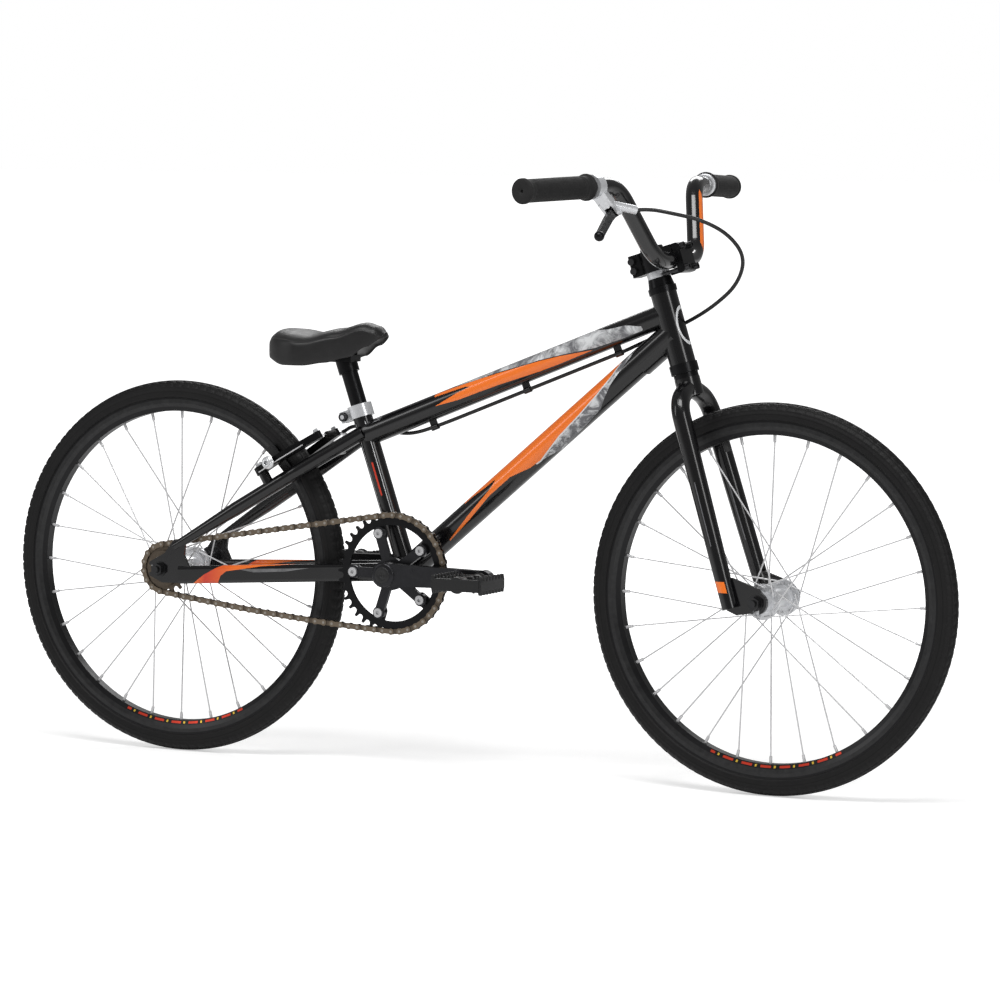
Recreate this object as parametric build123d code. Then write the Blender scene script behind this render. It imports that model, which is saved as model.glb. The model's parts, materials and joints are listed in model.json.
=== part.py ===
from build123d import *
import os
from math import asin, atan2, ceil, cos, degrees, pi, radians, sin, tan

# A 20-inch BMX race bike for a young rider. Millimetres.
# +X forward, +Y to the rider's left, +Z up. The ground is z = 0 and the
# origin lies on it, midway between the two axles.

os.makedirs("parts", exist_ok=True)

# ---------------------------------------------------------------- driving sizes
WHEELBASE = 870.0
RIGHT, LEFT = -1, 1

# Wheels
TYRE_RADIUS = 251.0
TYRE_SECTION = 32.5
TYRE_WALL = 3.0
RIM_RADIUS = 229.0
RIM_DEPTH = 19.0
RIM_WIDTH = 24.0
RIM_WALL = 2.4
TUBE_WALL = 1.5
SPOKE_COUNT = 28
SPOKE_CROSSES = 3
SPOKE_DIAMETER = 2.0
NIPPLE_DIAMETER = 4.0
NIPPLE_LENGTH = 12.0
VALVE_STEM_DIAMETER = 8.6
VALVE_THREAD_DIAMETER = 7.7
VALVE_LENGTH = 34.0
VALVE_PLACES = (8.5, 2.5)     # front, rear: counted in spokes from +x towards +z

# Hubs and axles
FRONT_HUB_WIDTH = 100.0
REAR_HUB_WIDTH = 110.0
FLANGE_SPACING = 66.0
FLANGE_DIAMETER = 46.0
FLANGE_HOLES_DIAMETER = 38.0
FLANGE_THICKNESS = 3.2
HUB_BARREL_DIAMETER = 26.0
AXLE_DIAMETER = 9.5
CONE_DIAMETER = 17.0
CONE_LENGTH = 13.0
AXLE_NUT_ACROSS = 15.0
AXLE_NUT_HEIGHT = 7.5
WASHER_THICKNESS = 1.5
WASHER_DIAMETER = 20.0
AXLE_STUB_LENGTH = 3.5
AXLE_STUB_DIAMETER = 9.0
REAR_WHEEL_DISH = 2.0

# Steering
HEAD_ANGLE = 72.5
FORK_LENGTH = 302.0
FORK_RAKE = 34.0
LOWER_STACK = 19.0
HEAD_TUBE_LENGTH = 94.0
HEAD_TUBE_DIAMETER = 34.0
HEAD_TUBE_WALL = 2.0
STEERER_DIAMETER = 25.4
STEERER_WALL = 2.4
CUP_DIAMETER = 37.0
CUP_INSERT = 11.0
UPPER_CUP_HEIGHT = 8.0
CROWN_RACE_HEIGHT = 6.0
BEARING_HEIGHT = 6.0
COVER_HEIGHT = 12.0
SPACER_HEIGHT = 8.5
SPACER_DIAMETER = 30.0

# Fork
LEG_DIAMETER = 24.0
LEG_TIP_DIAMETER = 21.0
LEG_SHOULDER_OFFSET = 46.0
LEG_TIP_OFFSET = 58.5
LEG_SHOULDER_DROP = 30.0
LEG_TIP_DROP = 300.0
SHOULDER_RADIUS = 34.0
CROWN_DIAMETER = 33.0
CROWN_HEIGHT = 24.0
DROPOUT_THICKNESS = 5.0

# Frame
BB_RISE = 10.5
REAR_CENTRE = 346.0
BB_SHELL_DIAMETER = 41.0
BB_SHELL_WIDTH = 68.0
BB_SHELL_WALL = 3.2
SEAT_ANGLE = 71.0
SEAT_TUBE_WALL = 1.85
SEAT_TUBE_LENGTH = 226.0
TUBE_WALL_THICKNESS = 1.8
TOP_TUBE_REAR_HEIGHT = 188.5
TOP_TUBE_HEAD_DROP = 26.7
TOP_TUBE_REAR_DIAMETER = 32.0
TOP_TUBE_HEAD_DIAMETER = 30.0
DOWN_TUBE_DIAMETER = 34.0
DOWN_TUBE_HEAD_DROP = 52.0
STAY_DIAMETER = 19.0
SEATSTAY_TOP_HEIGHT = 191.5
SEATSTAY_TOP_OFFSET = 11.0
SEATSTAY_BEND = (195.0, 32.5)
SEATSTAY_TAPER = 4.0
SEATSTAY_TAPER_SHARE = 0.5
CHAINSTAY_HEIGHT = 24.0
CHAINSTAY_WIDTH = 13.0
CHAINSTAY_BEND = (236.0, 30.0)
STAY_FRONT_OFFSET = 23.0
REAR_PLATE_THICKNESS = 4.0

# Seat
SEATPOST_DIAMETER = 22.2
SEATPOST_LENGTH = 170.0
SEATPOST_SHOWING = 66.0
SEATPOST_WALL = 2.0
SADDLE_LENGTH = 182.0
SADDLE_WIDTH = 116.0
SADDLE_NOSE_WIDTH = 40.0
RAIL_DIAMETER = 7.0
RAIL_SPACING = 36.0

# Handlebar
BAR_DIAMETER = 22.2
BAR_WALL = 2.0
BAR_WIDTH = 630.0
BAR_RISE = 99.5
BAR_FOOT = 62.0
BAR_SHOULDER = 118.0
BAR_BACKSWEEP = 10.0
BAR_BEND_RADIUS = 42.0
STEM_REACH = 29.5
STEM_BAR_RISE = 7.5
STEM_HEIGHT = 28.5
STEM_WIDTH = 36.0
GRIP_LENGTH = 136.0
GRIP_DIAMETER = 30.0
GRIP_FLANGE_DIAMETER = 34.0

# Drivetrain
CHAIN_PITCH = 12.7
RING_TEETH = 38
COG_TEETH = 16
CHAINLINE = 43.0
TOOTH_WIDTH = 3.0
ROLLER_DIAMETER = 7.8
BOLT_CIRCLE = 110.0
CRANK_LENGTH = 145.0
SPINDLE_DIAMETER = 17.0
ARM_INNER_FACE = 57.0
ARM_THICKNESS = 13.0
PEDAL_AXLE_DIAMETER = 14.0
FREEWHEEL_BORE = 34.1
FREEWHEEL_BODY = 48.0
FREEWHEEL_WIDTH = 11.0
PEDAL_SIZE = (72.0, 70.0, 24.0)
PEDAL_GAP = 5.0
CHAIN_SAG = 4.0
FREEWHEEL_OUTSIDE = 6.5
ROLLER_CLEARANCE = 0.3
TOOTH_HEIGHT = 3.4
LINK_RADIUS = 4.2
RING_INNER = 63.5
SPIDER_THICKNESS = 5.5

# Rim brake
BRAKE_PIVOT_FROM_AXLE = 183.0
BRAKE_STUD_DIAMETER = 8.0
ARM_LEVEL = 22.0
BRAKE_ARM_DEPTH = 10.0
BRAKE_ARM_LENGTH = 92.0
BRAKE_ARM_KNEE = 33.0
PAD_DISTANCE = 21.5
PAD_GAP = 2.0
PAD_THICKNESS = 9.0
PAD_SIZE = (50.0, 9.0)
CABLE_DIAMETER = 5.0
PAD_TILT = 11.0
ARM_TIP_INSET = 13.0
BOOT_LENGTH = 22.0
CABLE_DROP = 24.5
GUIDE_SHARES = (0.21, 0.52, 0.82)
# Places the housing bends through, measured from the rear axle.
FRONT_LOOP = [(771.6, -108.0, 490.1), (803.3, -85.0, 481.8), (828.2, -58.0, 463.9), (837.3, -30.0, 434.7),
              (816.4, -5.0, 399.7), (780.0, 12.0, 371.6), (740.0, 22.0, 349.5), (692.0, 21.0, 328.0),
              (672.0, 14.0, 318.5)]
REAR_LOOP = [(345.0, 8.0, 190.5), (310.0, 20.5, 192.0), (275.0, 24.0, 199.0), (240.0, 38.0, 196.0)]

# Brake lever: its places are (forward, side, height) in the steering frame
LEVER_PIVOT = (30.9, -152.0, 213.8)
BARREL_END = (50.6, -127.0, 210.3)
LEVER_BALL = (44.4, -240.0, 180.2)
LEVER_HUB_HALF = 5.0
PERCH_FROM_BAR_END = 148.0

RUNNING = 0.05      # radial clearance of a turning fit
SLIDING = 0.05      # radial clearance of the seatpost in its tube
EASY = 0.4          # clearance between pieces that pass each other

# ------------------------------------------------------------- derived places
BASE = (Align.CENTER, Align.CENTER, Align.MIN)
SEAT_TUBE_DIAMETER = SEATPOST_DIAMETER + 2 * (SLIDING + SEAT_TUBE_WALL)

REAR_AXLE = Vector(-WHEELBASE / 2, 0, TYRE_RADIUS)
FRONT_AXLE = Vector(WHEELBASE / 2, 0, TYRE_RADIUS)
BB = REAR_AXLE + Vector(REAR_CENTRE, 0, BB_RISE)

HEAD_UP = Vector(-cos(radians(HEAD_ANGLE)), 0, sin(radians(HEAD_ANGLE)))
HEAD_FORWARD = Vector(sin(radians(HEAD_ANGLE)), 0, cos(radians(HEAD_ANGLE)))
CROWN = FRONT_AXLE - HEAD_FORWARD * FORK_RAKE + HEAD_UP * FORK_LENGTH
# Steering frame: x forward of the steering axis, y left, z up the axis from the crown race seat.
STEERING = Plane(origin=CROWN, x_dir=HEAD_FORWARD, z_dir=HEAD_UP)

HEAD_BOTTOM = LOWER_STACK
HEAD_TOP = HEAD_BOTTOM + HEAD_TUBE_LENGTH
UPPER_CUP_TOP = HEAD_TOP + UPPER_CUP_HEIGHT
COVER_TOP = UPPER_CUP_TOP + COVER_HEIGHT
STEM_BOTTOM = COVER_TOP + SPACER_HEIGHT
STEM_TOP = STEM_BOTTOM + STEM_HEIGHT
BAR_HEIGHT = STEM_BOTTOM + STEM_BAR_RISE

SEAT_UP = Vector(-cos(radians(SEAT_ANGLE)), 0, sin(radians(SEAT_ANGLE)))
SEAT_FORWARD = Vector(sin(radians(SEAT_ANGLE)), 0, cos(radians(SEAT_ANGLE)))
# Seat frame: x forward of the seat tube axis, y left, z up the axis from the crank axis.
SEAT = Plane(origin=BB, x_dir=SEAT_FORWARD, z_dir=SEAT_UP)

RING_RADIUS = CHAIN_PITCH / 2 / sin(pi / RING_TEETH)
COG_RADIUS = CHAIN_PITCH / 2 / sin(pi / COG_TEETH)
RIM_INNER = RIM_RADIUS - RIM_DEPTH
RIM_FLOOR = RIM_RADIUS - 7.0


def on_steering(forward, side, height):
    """The point at a place in the steering frame."""
    return CROWN + HEAD_FORWARD * forward + Vector(0, side, 0) + HEAD_UP * height


def on_seat(forward, side, height):
    """The point at a place in the seat frame."""
    return BB + SEAT_FORWARD * forward + Vector(0, side, 0) + SEAT_UP * height


def save(part, node):
    """Write one node's solids."""
    export_step(part if isinstance(part, Compound) else Compound([part]), f"parts/{node}.step")


def group(pieces):
    """Several separate solids in one node."""
    return Compound([solid for piece in pieces for solid in piece.solids()])


def rod(start, end, radius, bore=0.0, end_radius=None):
    """A straight round bar or tube between two points, tapered to end_radius if given."""
    start, end = Vector(*start), Vector(*end)
    length = (end - start).length
    place = Plane(origin=start, z_dir=end - start)
    if end_radius is None or abs(end_radius - radius) < 1e-6:
        body = Cylinder(radius, length, align=BASE)
    else:
        body = Cone(radius, end_radius, length, align=BASE)
    if bore:
        body -= Cylinder(bore, length, align=BASE)
    return place * body


def ring(radius, bore, height, at=0.0):
    """A ring on the local z axis that starts at a height."""
    return Pos(0, 0, at) * (Cylinder(radius, height, align=BASE) - Cylinder(bore, height, align=BASE))


def cross_rod(x, z, radius, y_from, y_to, bore=0.0):
    """A bar or tube along y."""
    return rod((x, y_from, z), (x, y_to, z), radius, bore)


def bent_tube(points, radii, radius, bore=0.0):
    """A round tube along straight runs joined by tangent arcs."""
    path = FilletPolyline(*points, radius=radii)
    place = Plane(origin=path @ 0, z_dir=path % 0)
    body = sweep(place * Circle(radius), path=path)
    if bore:
        body -= sweep(place * Circle(bore), path=path)
    return body


def plate(outline, y_from, y_to):
    """A flat plate whose (x, z) outline is a closed sketch, spanning y_from to y_to."""
    place = Plane(origin=(0, y_from, 0), x_dir=(1, 0, 0), z_dir=(0, -1, 0))
    return extrude(place * outline, amount=-(y_to - y_from))


def hexagon_nut(across, height, bore):
    """A hexagon nut on the local z axis, its corners bevelled."""
    corner = across / 2 / cos(pi / 6)
    body = extrude(RegularPolygon(corner, 6), amount=height)
    body &= Cylinder(corner * 0.98, height, align=BASE)
    return body - Cylinder(bore, height, align=BASE)


def turned(profile):
    """A solid turned about the y axis from (y, radius) points."""
    face = make_face(Plane.YZ * Polyline(*profile, close=True))
    return revolve(face, axis=Axis.Y)


def half_sided(points):
    """Mirror an outline given for positive y, from the outside in, about the wheel's mid-plane."""
    return [*points, *[(-y, r) for y, r in reversed(points)]]


# --------------------------------------------------------------------- wheels
def tyre():
    """A tyre's carcass: a round casing whose beads hook inside the rim's flanges."""
    centre = TYRE_RADIUS - TYRE_SECTION / 2
    outer = TYRE_SECTION / 2
    bead = RIM_WIDTH / 2 - RIM_WALL
    bead_inner = bead - TYRE_WALL
    lip = RIM_RADIUS + EASY / 8
    casing = Pos(0, centre) * Circle(outer)
    casing -= Pos(0, lip - outer) * Rectangle(2 * TYRE_SECTION, 2 * outer)
    casing += Pos(0, (RIM_FLOOR + centre) / 2) * Rectangle(2 * bead, centre - RIM_FLOOR)
    hollow = Pos(0, centre) * Circle(outer - TYRE_WALL)
    hollow -= Pos(0, lip + TYRE_WALL / 2 - outer) * Rectangle(2 * TYRE_SECTION, 2 * outer)
    hollow += Pos(0, RIM_FLOOR) * Rectangle(2 * bead_inner, 2 * (centre - RIM_FLOOR))
    return revolve(Plane.YZ * (casing - hollow), axis=Axis.Y)


def inner_tube(valve_angle):
    """An inflated tube with a flat foot, and its valve through the rim."""
    centre = TYRE_RADIUS - TYRE_SECTION / 2
    foot = RIM_RADIUS + 2.0
    size = TYRE_SECTION / 2 - TYRE_WALL - EASY
    cut = Rectangle(2 * TYRE_SECTION, TYRE_SECTION)
    skin = Pos(0, centre) * Circle(size) - Pos(0, foot - TYRE_SECTION / 2) * cut
    air = Pos(0, centre) * Circle(size - TUBE_WALL)
    air -= Pos(0, foot + TUBE_WALL - TYRE_SECTION / 2) * cut
    body = revolve(Plane.YZ * (skin - air), axis=Axis.Y)
    stem = along_radius(valve_angle, VALVE_STEM_DIAMETER / 2, RIM_INNER, foot + TUBE_WALL / 2)
    return body + stem + along_radius(valve_angle, VALVE_THREAD_DIAMETER / 2, foot - VALVE_LENGTH, RIM_INNER)


def along_radius(angle, radius, r_from, r_to, y=0.0):
    """A round bar along a wheel's radius, at an angle from +x towards +z."""
    c, s = cos(radians(angle)), sin(radians(angle))
    return rod((r_from * c, y, r_from * s), (r_to * c, y, r_to * s), radius)


def rim(valve_angle):
    """A double-walled rim, bored for its spoke nipples and valve."""
    half = RIM_WIDTH / 2
    bed = 0.58 * half
    body = turned(half_sided([(half, RIM_RADIUS), (half, RIM_FLOOR - 1), (bed, RIM_INNER)]))
    body -= turned(half_sided([(half - RIM_WALL, RIM_RADIUS + 1), (half - RIM_WALL, RIM_FLOOR)]))
    top, bottom = RIM_FLOOR - RIM_WALL, RIM_INNER + RIM_WALL
    body -= turned(half_sided([(half - RIM_WALL - 1, top), (bed - 1, bottom)]))
    holes = []
    for index in range(SPOKE_COUNT):
        angle = index * 360 / SPOKE_COUNT
        hole_radius = NIPPLE_DIAMETER / 2 + EASY / 2
        holes.append(along_radius(angle, hole_radius, RIM_INNER - 1, bottom + 0.5))
    holes.append(along_radius(valve_angle, VALVE_STEM_DIAMETER / 2 + EASY / 2, RIM_INNER - 1, RIM_FLOOR + 1))
    return body - holes


def spoke_turns():
    """Angle per flange hole, and from a spoke's rim end back to its hub hole."""
    per_hole = 360 / (SPOKE_COUNT / 2)
    return per_hole, per_hole * SPOKE_CROSSES


def spokes(flange_right, flange_left):
    """Crossed spokes with their heads and nipples, half of them from each flange."""
    per_hole, swing = spoke_turns()
    hub_r = FLANGE_HOLES_DIAMETER / 2
    nipple_base = RIM_INNER + RIM_WALL - NIPPLE_LENGTH
    pieces = []
    for side, flange in ((RIGHT, flange_right), (LEFT, flange_left)):
        first = 0.0 if side == RIGHT else per_hole / 2
        for heading in (1, -1):
            away = side * heading
            near = flange - away * (FLANGE_THICKNESS / 2 + 0.8)
            lean = SPOKE_DIAMETER if heading == 1 else 0.0
            far = flange + away * (FLANGE_THICKNESS / 2 + SPOKE_DIAMETER + lean)
            back = radians(-heading * swing)
            hub_x, hub_z = hub_r * cos(back), hub_r * sin(back)
            points = [(hub_x, near, hub_z), (hub_x, far, hub_z), (nipple_base - EASY / 2, 0, 0)]
            wire = bent_tube(points, SPOKE_DIAMETER, SPOKE_DIAMETER / 2)
            wire += cross_rod(hub_x, hub_z, 1.9, near, near - away)
            nipple = rod((nipple_base, 0, 0), (RIM_INNER + RIM_WALL, 0, 0), NIPPLE_DIAMETER / 2)
            nipple += rod((RIM_INNER + RIM_WALL, 0, 0), (RIM_INNER + RIM_WALL + 2, 0, 0), 3.0)
            offset = first + (0 if heading == 1 else per_hole)
            for turn in range(SPOKE_COUNT // 4):
                place = Rot(0, -(offset + turn * 2 * per_hole), 0)
                pieces += [place * wire, place * nipple]
    return group(pieces)


def drill_flange(hub, flange, side):
    """Drill a hub flange for its spokes."""
    per_hole, _ = spoke_turns()
    first = 0.0 if side == RIGHT else per_hole / 2
    depth = FLANGE_THICKNESS
    drill = cross_rod(FLANGE_HOLES_DIAMETER / 2, 0, SPOKE_DIAMETER / 2 + 0.25, flange - depth, flange + depth)
    return hub - [Rot(0, -(first + k * per_hole), 0) * drill for k in range(SPOKE_COUNT // 2)]


def hub_shell(right_end, left_end, flange_right, flange_left, stub_radius):
    """A hub shell that turns on its axle's cones. stub_radius is the right end's outside."""
    barrel = HUB_BARREL_DIAMETER / 2
    body = cross_rod(0, 0, barrel, flange_right, flange_left)
    body += cross_rod(0, 0, stub_radius, right_end, flange_right)
    body += cross_rod(0, 0, barrel + 1, flange_left, left_end)
    half = FLANGE_THICKNESS / 2
    for flange, inward in ((flange_right, 1), (flange_left, -1)):
        body += cross_rod(0, 0, FLANGE_DIAMETER / 2, flange - half, flange + half)
        collar = barrel + 3
        body += cross_rod(0, 0, collar, flange, flange + inward * 6)
    body -= cross_rod(0, 0, AXLE_DIAMETER / 2 + 1.5, right_end, left_end)
    cone_bore = CONE_DIAMETER / 2 + RUNNING
    body -= cross_rod(0, 0, cone_bore, right_end, right_end + CONE_LENGTH - 3)
    body -= cross_rod(0, 0, cone_bore, left_end - CONE_LENGTH + 3, left_end)
    body = drill_flange(body, flange_right, RIGHT)
    return drill_flange(body, flange_left, LEFT)


def axle(hub_width, plate_thickness):
    """A threaded axle and the two cones that its hub turns on."""
    half = hub_width / 2
    thread_end = half + plate_thickness + WASHER_THICKNESS + AXLE_NUT_HEIGHT
    end = thread_end + AXLE_STUB_LENGTH
    rod_middle = cross_rod(0, 0, AXLE_DIAMETER / 2, -thread_end, thread_end)
    pieces = [rod_middle + cross_rod(0, 0, AXLE_STUB_DIAMETER / 2, -end, end)]
    for side in (RIGHT, LEFT):
        cone = cross_rod(0, 0, CONE_DIAMETER / 2, side * half, side * (half - CONE_LENGTH), AXLE_DIAMETER / 2)
        pieces.append(cone)
    return group(pieces)


def axle_nuts(hub_width, plate_thickness):
    """A washer and a hexagon nut outside each dropout."""
    pieces = []
    for side in (RIGHT, LEFT):
        start = hub_width / 2 + plate_thickness
        place = Plane(origin=(0, side * start, 0), z_dir=(0, side, 0))
        pieces.append(place * ring(WASHER_DIAMETER / 2, AXLE_DIAMETER / 2, WASHER_THICKNESS))
        nut = Pos(0, 0, WASHER_THICKNESS) * hexagon_nut(AXLE_NUT_ACROSS, AXLE_NUT_HEIGHT, AXLE_DIAMETER / 2)
        pieces.append(place * nut)
    return group(pieces)


def build_wheels():
    """Both wheels, their axles and nuts."""
    at_front, at_rear = Pos(FRONT_AXLE), Pos(REAR_AXLE)
    casing = tyre()
    half = FLANGE_SPACING / 2
    front_valve, rear_valve = (place * 360 / SPOKE_COUNT for place in VALVE_PLACES)
    places = (("front", at_front, front_valve, 0.0), ("rear", at_rear, rear_valve, REAR_WHEEL_DISH))
    for name, place, valve_angle, dish in places:
        save(place * casing, f"{name}_tyre")
        save(place * inner_tube(valve_angle), f"{name}_inner_tube")
        save(place * rim(valve_angle), f"{name}_rim")
        save(place * spokes(dish - half, dish + half), f"{name}_spokes")
    end = FRONT_HUB_WIDTH / 2 - 3
    front_hub = hub_shell(-end, end, -half, half, HUB_BARREL_DIAMETER / 2 + 1)
    save(at_front * front_hub, "front_hub")
    end = REAR_HUB_WIDTH / 2 - 3
    dish = REAR_WHEEL_DISH
    rear_hub = hub_shell(-end, end, dish - half, dish + half, FREEWHEEL_BORE / 2 - RUNNING)
    save(at_rear * rear_hub, "rear_hub")
    save(at_front * axle(FRONT_HUB_WIDTH, DROPOUT_THICKNESS), "front_axle")
    save(at_rear * axle(REAR_HUB_WIDTH, REAR_PLATE_THICKNESS), "rear_axle")
    save(at_front * axle_nuts(FRONT_HUB_WIDTH, DROPOUT_THICKNESS), "front_axle_nuts")
    save(at_rear * axle_nuts(REAR_HUB_WIDTH, REAR_PLATE_THICKNESS), "rear_axle_nuts")


# ----------------------------------------------------------------- main frame
TOP_TUBE_REAR = on_seat(0, 0, TOP_TUBE_REAR_HEIGHT)
TOP_TUBE_FRONT = on_steering(0, 0, HEAD_TOP - TOP_TUBE_HEAD_DROP)
DOWN_TUBE_FRONT = on_steering(0, 0, HEAD_TOP - DOWN_TUBE_HEAD_DROP)


def tapered_tube(start, end, start_diameter, end_diameter, wall):
    """A tapered tube with an even wall."""
    outer = rod(start, end, start_diameter / 2, end_radius=end_diameter / 2)
    return outer - rod(start, end, start_diameter / 2 - wall, end_radius=end_diameter / 2 - wall)


def head_solid():
    return rod(on_steering(0, 0, HEAD_BOTTOM), on_steering(0, 0, HEAD_TOP), HEAD_TUBE_DIAMETER / 2)


def seat_tube_solid(length=SEAT_TUBE_LENGTH):
    return rod(BB, on_seat(0, 0, length), SEAT_TUBE_DIAMETER / 2)


def shell_solid():
    return cross_rod(BB.X, BB.Z, BB_SHELL_DIAMETER / 2, -BB_SHELL_WIDTH / 2, BB_SHELL_WIDTH / 2)


def top_tube_solid():
    return rod(TOP_TUBE_REAR, TOP_TUBE_FRONT, TOP_TUBE_REAR_DIAMETER / 2,
               end_radius=TOP_TUBE_HEAD_DIAMETER / 2)


def build_main_tubes():
    """The welded tubes of the front triangle, each coped to its neighbours."""
    head = head_solid()
    head_bore = HEAD_TUBE_DIAMETER / 2 - HEAD_TUBE_WALL
    save(head - rod(on_steering(0, 0, 0), on_steering(0, 0, HEAD_TOP + 9), head_bore), "head_tube")

    shell = shell_solid()
    shell_bore = BB_SHELL_DIAMETER / 2 - BB_SHELL_WALL
    half = BB_SHELL_WIDTH / 2
    save(shell - cross_rod(BB.X, BB.Z, shell_bore, -half - 1, half + 1), "bottom_bracket_shell")

    seat_bore = SEATPOST_DIAMETER / 2 + SLIDING
    seat = seat_tube_solid() - rod(BB, on_seat(0, 0, SEAT_TUBE_LENGTH + 1), seat_bore) - shell
    slot_depth = 24.0
    slot = SEAT * Pos(-SEAT_TUBE_DIAMETER / 2, 0, SEAT_TUBE_LENGTH - slot_depth / 2)
    save(seat - slot * Box(SEAT_TUBE_DIAMETER, 2.5, slot_depth + 1), "seat_tube")

    top = tapered_tube(TOP_TUBE_REAR, TOP_TUBE_FRONT, TOP_TUBE_REAR_DIAMETER,
                       TOP_TUBE_HEAD_DIAMETER, TUBE_WALL_THICKNESS)
    save(top - head - seat_tube_solid(), "top_tube")

    down_outer = rod(BB, DOWN_TUBE_FRONT, DOWN_TUBE_DIAMETER / 2)
    down = down_outer - rod(BB, DOWN_TUBE_FRONT, DOWN_TUBE_DIAMETER / 2 - TUBE_WALL_THICKNESS)
    down = down - head - shell - seat_tube_solid() - top_tube_solid()
    plate_under = largest(gusset(down_outer) - head)
    save(group([largest(down), plate_under]), "down_tube")


def largest(part):
    """The largest solid of a cut piece, without the crumbs that coping leaves."""
    return Compound([max(part.solids(), key=lambda solid: solid.volume)])


def gusset(down_outer):
    """A curved plate welded under the down tube where it meets the head tube."""
    along = (DOWN_TUBE_FRONT - BB).normalized()
    start, end = DOWN_TUBE_FRONT - along * 62, DOWN_TUBE_FRONT
    thickness = 2.5
    skin = rod(start, end, DOWN_TUBE_DIAMETER / 2 + thickness) - down_outer
    place = Plane(origin=(start + end) * 0.5, x_dir=along, z_dir=(0, 1, 0))
    under = place * Pos(0, DOWN_TUBE_DIAMETER + 6) * Box(160, 2 * DOWN_TUBE_DIAMETER, 2 * DOWN_TUBE_DIAMETER)
    above = skin & under
    below = skin - under
    return largest(below if below.center().Z < above.center().Z else above)


# ---------------------------------------------------------------- rear triangle
def rear(x, y, z=0.0):
    """A point measured from the rear axle."""
    return REAR_AXLE + Vector(x, y, z)


SEATSTAY_TOP = on_seat(0, 0, SEATSTAY_TOP_HEIGHT)
SEATSTAY_FOOT_X, SEATSTAY_FOOT_Z = 22.0, 31.0
CHAINSTAY_FOOT_X, CHAINSTAY_FOOT_Z = 30.0, -6.5
REAR_PLATE = (REAR_HUB_WIDTH / 2, REAR_HUB_WIDTH / 2 + REAR_PLATE_THICKNESS)


def on_seatstay_line(x):
    """Height above the axle of the seatstays' side view line, x ahead of the axle."""
    top = SEATSTAY_TOP - REAR_AXLE
    return SEATSTAY_FOOT_Z + (x - SEATSTAY_FOOT_X) * (top.Z - SEATSTAY_FOOT_Z) / (top.X - SEATSTAY_FOOT_X)


def seatstay_points(side):
    """A seatstay's centreline: dropout, bend beside the tyre, seat tube."""
    bend_x, bend_y = SEATSTAY_BEND
    foot = rear(SEATSTAY_FOOT_X, side * sum(REAR_PLATE) / 2, SEATSTAY_FOOT_Z)
    bend = rear(bend_x, side * bend_y, on_seatstay_line(bend_x))
    top = SEATSTAY_TOP + Vector(0, side * SEATSTAY_TOP_OFFSET, 0)
    return foot, bend, top


def seatstay(points, radius):
    """A seatstay's round body; it tapers towards the dropout to clear the chain."""
    foot, bend, top = points
    slim = foot + (bend - foot) * SEATSTAY_TAPER_SHARE
    upper = bent_tube([slim, bend, top], 60, radius)
    return upper + rod(foot, slim, radius - SEATSTAY_TAPER, end_radius=radius)


def rear_plate(side, grow=0.0):
    """A rear dropout plate with a slot that opens backwards."""
    y_from, y_to = sorted(side * y for y in REAR_PLATE)
    x, z = REAR_AXLE.X, REAR_AXLE.Z
    outline = make_face(Polyline((x - 16, z - 9), (x + 4, z - 18), (x + 46, z - 17), (x + 46, z + 3),
                                 (x + 38, z + 20), (x + 40, z + 38), (x + 22, z + 41), (x + 8, z + 22),
                                 (x - 16, z + 9), close=True))
    outline = fillet(outline.vertices(), 3)
    if not grow:
        outline -= Pos(x - 20, z) * Rectangle(2 * 20, AXLE_DIAMETER + EASY)
        outline -= Pos(x, z) * Circle(AXLE_DIAMETER / 2 + EASY / 2)
    return plate(outline, y_from - grow, y_to + grow)


def chainstay(side):
    """A box-section chainstay that bends in beside the tyre."""
    bend_x, bend_y = CHAINSTAY_BEND
    foot_y = REAR_PLATE[0] + 1.0
    rise = BB.Z - REAR_AXLE.Z - CHAINSTAY_FOOT_Z
    slope = rise / (REAR_CENTRE - CHAINSTAY_FOOT_X)
    bend_z = CHAINSTAY_FOOT_Z + slope * (bend_x - CHAINSTAY_FOOT_X)
    points = [rear(CHAINSTAY_FOOT_X, side * foot_y, CHAINSTAY_FOOT_Z), rear(bend_x, side * bend_y, bend_z),
              rear(REAR_CENTRE - 4, side * STAY_FRONT_OFFSET, BB_RISE)]
    path = FilletPolyline(*points, radius=90)
    place = Plane(origin=path @ 0, x_dir=(0, 0, 1), z_dir=path % 0)
    section = place * RectangleRounded(CHAINSTAY_HEIGHT, CHAINSTAY_WIDTH, 4.5)
    return sweep(section, path=path)


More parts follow.
